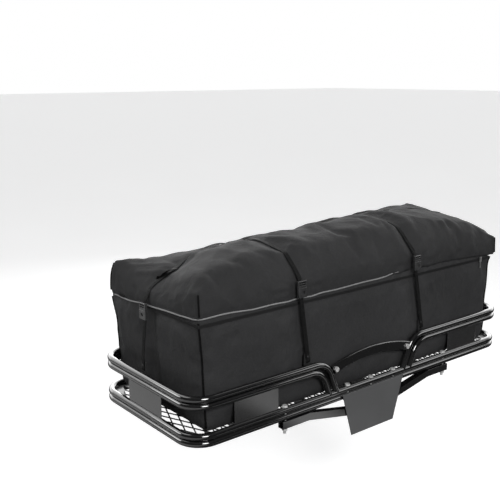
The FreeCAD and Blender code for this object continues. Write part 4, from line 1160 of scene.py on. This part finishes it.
def add_corner_seams():
    """Binding up the four corners of the tub and of the lid; its near-black cloth is painted shade
    in the corner seams.
    """
    for tag, i, j in (("rear_left", 0, 0), ("rear_right", NUM_X, 0),
                      ("front_left", 0, NUM_Y), ("front_right", NUM_X, NUM_Y)):
        out = np.array([1.0 if i else -1.0, 1.0 if j else -1.0, 0]) / 2 ** 0.5
        for prefix, part, rows, radius, slot, body in (
                ("tub", TUB, range(1, SEAM_ROW), 3.0, "bag_fabric", "carrier"),
                ("lid", LID, range(SEAM_ROW + 1, TOP_ROW), 2.8, "lid_fabric", "bag_lid")):
            line = shell_line(part, [(i, j, row) for row in rows])
            line = smooth_line(resample(line, 8), 2) + out * 1.6
            seam = tube(prefix + "_corner_seam_" + tag, line, radius, MAT["binding"], sides=8)
            register(seam, body)


add_piping()
add_corner_seams()

# ---------------------------------------------------------------- zip

ZIP_STEP = 3.0
TAPE_HALF_HEIGHT, TAPE_THICKNESS = 5.2, 1.0
TOOTH_HALF_LENGTH = 0.85
# a tooth's section: up, out from the tape
TOOTH_PROFILE = [(-2.6, -0.3), (-2.2, 0.85), (2.2, 0.85), (2.6, -0.3)]
TOOTH_FACES = [(3, 2, 1, 0), (4, 5, 6, 7),
               (0, 1, 5, 4), (1, 2, 6, 5), (2, 3, 7, 6), (3, 0, 4, 7)]


def shifted(faces, shift):
    return [tuple(shift + v for v in face) for face in faces]


def add_zip():
    """Coil under the lid's lip round the left, rear and right sides: teeth on a narrow tape."""
    low, high = mm_box("zip_track")
    inset = 1.2
    z = (low[2] + high[2]) / 2 + 1.5
    left, rear, right = low[0] + inset, low[1] + inset, high[0] - inset
    line = resample([(left, high[1], z), (left, rear, z), (right, rear, z),
                     (right, high[1], z)], ZIP_STEP)
    along = tangents(line)
    out = np.cross(along, [0, 0, 1.0])
    tall, thick = TAPE_HALF_HEIGHT, TAPE_THICKNESS
    tape = [(-tall, 0.0), (tall, 0.0), (tall, -thick), (-tall, -thick)]
    points = [centre + [0, 0, up] + away * depth
              for centre, away in zip(line, out) for up, depth in tape]
    faces = loft_faces(len(line), 4)
    for centre, away, tangent in zip(line, out, along):
        faces += shifted(TOOTH_FACES, len(points))
        for side in (-1, 1):
            for up, depth in TOOTH_PROFILE:
                points.append(centre + tangent * side * TOOTH_HALF_LENGTH + [0, 0, up]
                              + away * depth)
    coil = make_mesh("zip_coil", points, faces, MAT["zip_coil"], smooth=False, recalc=True)
    register(coil, "carrier", "zip_track")


add_zip()

# ---------------------------------------------------------------- straps

STRAP_CENTRE_Z = 300  # the straps are traced by rays aimed at this height
# drift of the lengthwise strap towards the vehicle, away from the end buckles' y, by x
STRAP_DRIFT = np.array([
    (-716, 0), (-704, 10), (-640, 12), (-600, 17), (-550, 38), (-510, 58), (-400, 74),
    (-310, 76), (0, 78), (235, 70), (400, 50), (600, 15), (700, 0)], float)
# x or y of the upper rail, then from it to the tab, and from there to the strap's inner face
UPPER_RAIL_X, UPPER_RAIL_Y = 750.9, 268.9
RAIL_TO_TAB, TAB_TO_STRAP = 11.2, 0.95
TAB_X = UPPER_RAIL_X - RAIL_TO_TAB + TAB_TO_STRAP
TAB_Y = UPPER_RAIL_Y - RAIL_TO_TAB + TAB_TO_STRAP
RIVET_Z = 172


def reach(centre, direction, axis, start):
    """Distance from centre to the furthest of three hits across the strap's width.

    The strap runs along the given axis, 0 or 1; rays start at distance start.
    """
    across = np.array([axis, 1 - axis, 0])
    best = 0
    for offset in (-10, 0, 10):
        spot = hit(centre + across * offset + direction * start, -direction)
        if spot is not None:
            best = max(best, math.hypot(spot[axis] - centre[axis], spot[2] - centre[2]))
    return best


def strap_normals(line, across, centre):
    out = np.cross(across, tangents(line))
    out[np.sum(out * (line - centre), axis=1) < 0] *= -1
    return out


def lengthwise_line():
    """Line and normals of the end-to-end strap, from the left buckle over to the right."""
    left_low, left_high = mm_box("left_end_buckle_plug")
    right_high = mm_box("right_end_buckle_plug")[1]
    y_buckle = (left_low[1] + left_high[1]) / 2
    centre = np.array([-10.0, 0.0, STRAP_CENTRE_Z])
    points = []
    for angle in np.linspace(173, 7, 260):
        cos, sin = math.cos(math.radians(angle)), math.sin(math.radians(angle))
        direction = np.array([cos, 0, sin])
        y = y_buckle
        for _ in range(3):
            spot = hit(centre + [0, y, 0] + direction * 1500, -direction)
            if spot is not None:
                y = float(np.interp(spot[0], STRAP_DRIFT[:, 0], y_buckle + STRAP_DRIFT[:, 1]))
        best = reach(centre + [0, y, 0], direction, 0, 1500)
        if best:
            points.append((centre[0] + best * cos, y, centre[2] + best * sin))
    points = np.array(points)
    x, z = points[:, 0], points[:, 2]
    left = points[(x < 0) & (z > left_high[2] + 4)]
    right = points[(x >= 0) & (z > right_high[2] + 4)]
    body = smooth_line(resample(np.vstack([left, right]), 7), 5)
    # taut at both ends: hull from the buckle over the first 130 mm of the top
    ends = []
    for outer_x, from_end, mirror in ((-727.2, body, 1), (696.7, body[::-1], -1)):
        count = int(np.argmax(np.abs(from_end[:, 0] - from_end[0, 0]) > 130))
        z_buckle = left_high[2] if mirror > 0 else right_high[2]
        head = np.vstack([[(outer_x, y_buckle, z_buckle - 13), (outer_x, y_buckle, z_buckle + 3)],
                          from_end[:count]])
        flat = np.c_[head[:, 0] * mirror, head[:, 2]]
        kept = [int(np.argmin(np.abs(flat - point).sum(1))) for point in upper_hull(flat)]
        ends.append((head[kept], count))
    (left_end, left_count), (right_end, right_count) = ends
    core = body[left_count:len(body) - right_count]
    line = smooth_line(resample(np.vstack([left_end, core, right_end[::-1]]), 7), 2)
    out = strap_normals(line, [0.0, 1.0, 0.0], [0, 0, STRAP_CENTRE_Z])
    return line + out * 0.9, out


long_strap = ribbon("lengthwise_strap", *lengthwise_line())
register(long_strap, "bag_lid", "lengthwise_over_strap")
# the cross straps lie over the lengthwise one
surface_tree = search_tree(joined(BAG_SURFACE, (
    to_mm([v.co for v in long_strap.data.vertices]),
    [tuple(face.vertices) for face in long_strap.data.polygons])))


def rear_strap_y(z):
    """The rear end of a cross strap leans in with its buckle."""
    return -262.6 + (z - BUCKLE_FOOT_Z) * BUCKLE_LEAN


def cross_strap(tag):
    """Strap over the lid from its rear buckle to the hinge line; returns its x and front y."""
    low, high = mm_box("rear_%s_buckle_plug" % tag)
    x, z_buckle = (low[0] + high[0]) / 2, high[2]
    centre = np.array([x, 0.0, STRAP_CENTRE_Z])
    points = []
    for angle in np.linspace(176, 4, 260):
        cos, sin = math.cos(math.radians(angle)), math.sin(math.radians(angle))
        best = reach(centre, np.array([0, cos, sin]), 1, 900)
        if best:
            points.append((best * cos, centre[2] + best * sin))
    points = np.array(points)
    y, z = points.T
    points = points[((y < 0) & (z > z_buckle + 3)) | ((y >= 0) & (z > 371))]
    y_front = points[points[:, 0] > 0][-1, 0]
    buckle_end = [(rear_strap_y(z), z) for z in (z_buckle - 14, z_buckle + 1)]
    hull = upper_hull(np.vstack([buckle_end, points, [(y_front, 369.5)]]))
    line = smooth_line(resample(np.c_[np.full(len(hull), x), hull[:, 0], hull[:, 1]], 8), 2)
    out = strap_normals(line, [1.0, 0.0, 0.0], [x, 0, STRAP_CENTRE_Z])
    strap = ribbon(tag + "_cross_strap", line + out * 0.4, out)
    register(strap, "bag_lid", tag + "_over_strap")
    return x, y_front


# a stitch is a flat block: corner signs and faces, lower ring first
STITCH_CORNERS = ((-1, -1), (1, -1), (1, 1), (-1, 1))
STITCH_FACES = [(0, 1, 2, 3), (7, 6, 5, 4), (0, 4, 5, 1), (1, 5, 6, 2), (2, 6, 7, 3),
                (3, 7, 4, 0)]


def add_stitching(name, x, y, side):
    """Box stitch round the rivet: two rows of six and two columns of six."""
    centres = []
    for k in range(6):
        centres += [(-7.5 + k * 3, -10.5), (-7.5 + k * 3, 10.5)]
    for k in range(6):
        centres += [(-8.5, -8.5 + k * 3.4), (8.5, -8.5 + k * 3.4)]
    points, faces = [], []
    for dx, dz in centres:
        half_x, half_z = (1.0, 0.35) if abs(dz) > 9.5 else (0.35, 1.1)
        faces += shifted(STITCH_FACES, len(points))
        for height, share in ((0, 1), (side * 0.45, 0.7)):
            for sign_x, sign_z in STITCH_CORNERS:
                points.append((x + dx + sign_x * half_x * share, y + height,
                               RIVET_Z + dz + sign_z * half_z * share))
    stitching = make_mesh(name, points, faces, MAT["thread"], smooth=False, recalc=True)
    register(stitching, "carrier")


def lower_strap(tag, side, top_x, foot_x, top):
    """Strap from the top points (y, z) down to the riveted tab inside the upper rail.

    side is -1 at the rear and 1 at the front.
    """
    def strap_x(z):
        return lerp(foot_x, top_x, min(1, max(0, (z - 156) / 218)))

    y_tab = side * TAB_Y
    path = top + [(y_tab, z) for z in (196, 190, RIVET_Z, 155.5)]
    line = smooth_line(resample([(strap_x(z), y, z) for y, z in path], 6), 1)
    # lie on the fabric wherever the bag stands out further than the straight line
    for point in line:
        if point[2] > 200:
            spot = hit((point[0], side * 420, point[2]), (0, -side, 0))
            if (spot is not None and side * spot[1] + 1.2 > side * point[1]
                    and abs(spot[1]) < 274):
                point[1] = spot[1] + side * 1.2
    line[:, 1] = smooth_line(line, 2)[:, 1]
    along = tangents(line)
    out = np.c_[np.zeros(len(along)), -along[:, 2] * side, along[:, 1] * side]
    out[out[:, 1] * side < 0] *= -1
    name = tag + "_tie_strap"
    register(ribbon(name, line, out), "carrier", tag + "_lower_strap")
    add_stitching(name + "_stitching", strap_x(RIVET_Z), y_tab + side * 0.8, side)


def hinge_webbing(tag, x, y_front):
    """Webbing carried across the lid's hinge line."""
    z = np.array([336, 344, 352, 360, 366, 372, 380, 388, 396.0])
    y = np.interp(z, [336, 352, 366, 396],
                  [y_front + 3.4, y_front + 2.9, y_front + 2.5, y_front + 2.6])
    bridge = ribbon(tag + "_hinge_webbing", np.c_[np.full(9, x), y, z],
                    np.tile([0.0, 1.0, 0.0], (9, 1)), width=23.0, thick=1.4)
    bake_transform(bridge)


for tag, foot_x in zip(("left", "right"), STRAP_FOOT_X):
    strap_x, y_front = cross_strap(tag)
    lower_strap("rear_" + tag, -1, strap_x, foot_x,
                [(rear_strap_y(z) - 0.2, z) for z in (399, BUCKLE_FOOT_Z)])
    lower_strap("front_" + tag, 1, strap_x, foot_x,
                [(y_front + 0.8, 362), (y_front + 0.6, 350)])
    hinge_webbing(tag, strap_x, y_front)


def end_strap(tag, face_x, side):
    """Strap from the riveted tab on the rail up to the end's buckle; side is -1 at the left."""
    node = tag + "_lower_strap"
    low, high = mm_box(node)
    z = np.array([155.5, RIVET_Z, 190, 196, 230, 270, 322, 336, high[2] - 1])
    x = np.interp(z, [194, 322], [side * TAB_X, face_x + side * 0.9])
    line = resample(np.c_[x, np.full(len(z), (low[1] + high[1]) / 2), z], 6)
    strap = ribbon(tag + "_tie_strap", line, np.tile([float(side), 0.0, 0.0], (len(line), 1)))
    register(strap, "carrier", node)


end_strap("left_end", face_x=-727.0, side=-1)
end_strap("right_end", face_x=696.5, side=1)

# loose end: x, y and height above the lid
TAIL = [(-600, 30, 3.5), (-612, 26, 5.5), (-626, 30, 7.5), (-640, 37, 6.0), (-652, 45, 4.5),
        (-662, 52, 5.5)]


def loose_tail():
    """Free end of the lengthwise strap, lying twisted on the lid's left slope."""
    points = [(x, y, hit((x, y, 900), (0, 0, -1))[2] + lift) for x, y, lift in TAIL]
    line = smooth_line(resample(points, 5), 2)
    along = tangents(line)
    side = np.cross(along, [0, 0, 1.0])
    twist = np.linspace(0, 0.9, len(line))[:, None]
    out = np.cross(side, along) * np.cos(twist) + side * np.sin(twist)
    register(ribbon("lengthwise_strap_tail", line, out, width=20.0), "bag_lid")


loose_tail()


def hinge_flap():
    """Fabric strip on the vehicle side that carries the bag across the lid's hinge line."""
    xs = np.linspace(-690, 664, 130)
    zs = np.array([338, 346, 354, 361, 366, 371, 378, 386, 394.0])
    num_x, num_z = len(xs), len(zs)
    inner = np.full((num_x, num_z), 268.0)
    for i, x in enumerate(xs):
        for j, z in enumerate(zs):
            for dz in (-8, 0, 8):
                spot = hit((x, 420, z + dz), (0, -1, 0))
                if spot is not None:
                    inner[i, j] = max(inner[i, j], spot[1])
    for _ in range(3):
        inner[1:-1] = np.maximum(inner[1:-1],
                                 0.25 * inner[:-2] + 0.5 * inner[1:-1] + 0.25 * inner[2:])
    inner = inner + 0.5
    points = [(x, inner[i, j] + thick, z) for thick in (0, 1.2)
              for i, x in enumerate(xs) for j, z in enumerate(zs)]
    faces = []

    def quad(*corners):
        """Corners are (i, j, layer); layer 0 is the inner one."""
        faces.append(tuple((layer * num_x + i) * num_z + j for i, j, layer in corners))

    for i in range(num_x - 1):
        for j in range(num_z - 1):
            quad((i, j, 1), (i, j + 1, 1), (i + 1, j + 1, 1), (i + 1, j, 1))
            quad((i, j, 0), (i + 1, j, 0), (i + 1, j + 1, 0), (i, j + 1, 0))
    last = num_z - 1
    for i in range(num_x - 1):
        quad((i, 0, 0), (i, 0, 1), (i + 1, 0, 1), (i + 1, 0, 0))
        quad((i, last, 0), (i + 1, last, 0), (i + 1, last, 1), (i, last, 1))
    last = num_x - 1
    for j in range(num_z - 1):
        quad((0, j, 0), (0, j + 1, 0), (0, j + 1, 1), (0, j, 1))
        quad((last, j, 0), (last, j, 1), (last, j + 1, 1), (last, j + 1, 0))
    flap = make_mesh("lid_hinge_flap", points, faces, MAT["lid_fabric"], recalc=True)
    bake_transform(flap)


hinge_flap()

# ---------------------------------------------------------------- CAD nodes that stay

# The first word found in a node's name gives its slot; the rest are frame_paint.
SLOT_WORDS = [
    ("zip_slider", "zip_metal"), ("zip_pull", "zip_metal"), ("buckle", "buckle_plastic"),
    ("anchor_tabs", "hook_steel"), ("strap", "webbing"), ("plate_bracket", "bracket_paint"),
    ("side_plate", "plate_paint"), ("end_plate", "plate_paint"), ("mesh", "mesh_steel"),
    ("bolts", "zinc_steel"), ("nuts", "zinc_steel"), ("washers", "zinc_steel"),
    ("cap", "black_plastic"),
]
# Nodes with bevelled edges; the small ones take the finer bevel.
SMALL_WORDS = ("bolts", "nuts", "washers", "buckle", "slider", "pull", "anchor")
BEVEL_WORDS = SMALL_WORDS + ("plate", "cross_bar", "arch_bar", "arch_tabs", "brace", "shank",
                             "bracket", "cap")


def has_word(name, words):
    return any(word in name for word in words)


def soften_edges(obj, width):
    weld = obj.modifiers.new("Weld", "WELD")
    weld.merge_threshold = 2e-5
    bevel = obj.modifiers.new("Bevel", "BEVEL")
    bevel.width = width
    bevel.segments = 2
    bevel.limit_method = "ANGLE"
    bevel.angle_limit = math.radians(38)
    bevel.use_clamp_overlap = True
    bevel.harden_normals = False


for name, obj in NODES.items():
    if obj.hide_render:
        continue
    slot = next((slot for word, slot in SLOT_WORDS if word in name), "frame_paint")
    obj.data.materials.clear()
    obj.data.materials.append(CAD_WEBBING if slot == "webbing" else MAT[slot])
    if has_word(name, BEVEL_WORDS) and "mesh" not in name:
        soften_edges(obj, width=0.0005 if has_word(name, SMALL_WORDS) else 0.0010)

# ---------------------------------------------------------------- studio

CAMERA_PLACE = (-1942.84, -2022.36, 1069.49)
CAMERA_ANGLES = (38.69594, 12.635826, -0.173336)  # yaw from +Y to +X, pitch down, roll; degrees
# Disk lights: name, place, target, diameter in metres, power in watts.
LIGHTS = [
    ("key", (-1300, -3300, 2100), (0, 0, 250), 1.6, 122),
    ("top", (-1700, 700, 2300), (-300, 0, 300), 1.3, 9),
    ("fill", (2600, -2600, 1200), (0, 0, 250), 1.8, 22),
    ("side", (-2900, 2000, 1500), (-500, 0, 300), 1.6, 32),
    ("back", (1400, 3300, 1500), (0, 0, 250), 1.8, 16),
]
FLOOR_HALF = 60.0  # metres
FLOOR_Z = place(0, 0, -146.9).z - 0.33  # metres


def add_camera():
    yaw, pitch, roll = (math.radians(angle) for angle in CAMERA_ANGLES)
    forward = Vector((math.sin(yaw) * math.cos(pitch), math.cos(yaw) * math.cos(pitch),
                      -math.sin(pitch)))
    level = Vector((math.cos(yaw), -math.sin(yaw), 0))
    upright = level.cross(forward)
    right = level * math.cos(roll) + upright * math.sin(roll)
    up = upright * math.cos(roll) - level * math.sin(roll)
    cam = bpy.data.objects.new("camera", bpy.data.cameras.new("camera"))
    bpy.context.scene.collection.objects.link(cam)
    matrix = Matrix((right, up, -forward)).transposed().to_4x4()
    matrix.translation = place(*CAMERA_PLACE)
    cam.matrix_world = matrix
    cam.data.sensor_width = 36
    cam.data.lens = 56.597
    cam.data.clip_start, cam.data.clip_end = 0.05, 400
    bpy.context.scene.camera = cam


def add_world():
    """White to the camera, a soft gradient for light, a bright wall in mirror images."""
    world = bpy.data.worlds.new("studio")
    bpy.context.scene.world = world
    world.use_nodes = True
    sh = Shader(world.node_tree, "Generated")
    axes = sh.split(sh.position)
    gradient = sh.ramp(axes["Z"], [(0.0, 0.12), (0.10, 0.15), (0.45, 0.34), (1.0, 0.55)])
    # the wall stands beyond the bag as the camera sees it
    beyond = sh.plus(sh.times(axes["X"], 0.625), sh.times(axes["Y"], 0.78))
    wall_height = [(0.0, 0.3), (0.10, 1.0), (0.72, 1.0), (0.92, 0.0)]
    wall = sh.times(sh.fade(beyond, 0.12, 0.48), sh.ramp(axes["Z"], wall_height))
    glossy = sh.node("ShaderNodeLightPath").outputs["Is Glossy Ray"]
    dimmed = sh.mix(sh.times(glossy, 0.7), gradient, (0.0, 0.0, 0.0))
    mirrored = sh.mix(sh.times(wall, glossy), dimmed, (3.0, 3.0, 3.0))
    to_camera = sh.node("ShaderNodeLightPath").outputs["Is Camera Ray"]
    background = world.node_tree.nodes["Background"]
    sh.feed(background.inputs["Color"], sh.mix(to_camera, mirrored, (1.0, 1.0, 1.0)))
    background.inputs["Strength"].default_value = 1.0


def add_light(name, location, target, size, power):
    light = bpy.data.lights.new(name, "AREA")
    light.shape = "DISK"
    light.size = size
    light.energy = power
    obj = bpy.data.objects.new(name, light)
    bpy.context.scene.collection.objects.link(obj)
    obj.location = place(*location)
    obj.rotation_mode = "QUATERNION"
    obj.rotation_quaternion = (place(*target) - place(*location)).to_track_quat("-Z", "Y")


def floor_material():
    """Pale to the camera; every other ray meets grey bands along X, mirrored in the paint."""
    mat, sh = new_material("pale_floor")
    patches = sh.fade(sh.noise(scale=1.1, detail=4), 0.3, 0.7)
    pale = sh.mix(patches, (0.84, 0.84, 0.845), (0.88, 0.88, 0.885))
    to_camera = sh.node("ShaderNodeLightPath").outputs["Is Camera Ray"]
    # x from -2 to 2 metres, as 0 to 1
    across = sh.plus(sh.times(sh.split(sh.geometry("Position"))["X"], 0.25), 0.5)
    bands = sh.ramp(across, [(0.0, 0.65), (0.19, 0.65), (0.27, 0.10), (0.545, 0.06),
                             (0.58, 0.95), (0.61, 0.9), (0.65, 0.06)])
    sh.surface({
        "Base Color": sh.mix(to_camera, bands, pale),
        "Roughness": 0.9,
        "Specular IOR Level": 0.05,
        "Emission Color": (1, 1, 1),
        "Emission Strength": sh.times(to_camera, 0.44),
    })
    return mat


def add_floor():
    mesh = bpy.data.meshes.new("floor")
    half = FLOOR_HALF
    corners = ((-half, -half), (half, -half), (half, half), (-half, half))
    mesh.from_pydata([(x, y, FLOOR_Z) for x, y in corners], [], [(0, 1, 2, 3)])
    floor = bpy.data.objects.new("floor", mesh)
    bpy.context.scene.collection.objects.link(floor)
    mesh.materials.append(floor_material())


add_camera()
add_world()
for light in LIGHTS:
    add_light(*light)
add_floor()

view = bpy.context.scene.view_settings
view.view_transform = "Standard"
view.look = "None"
view.exposure = 0.0
view.gamma = 1.0
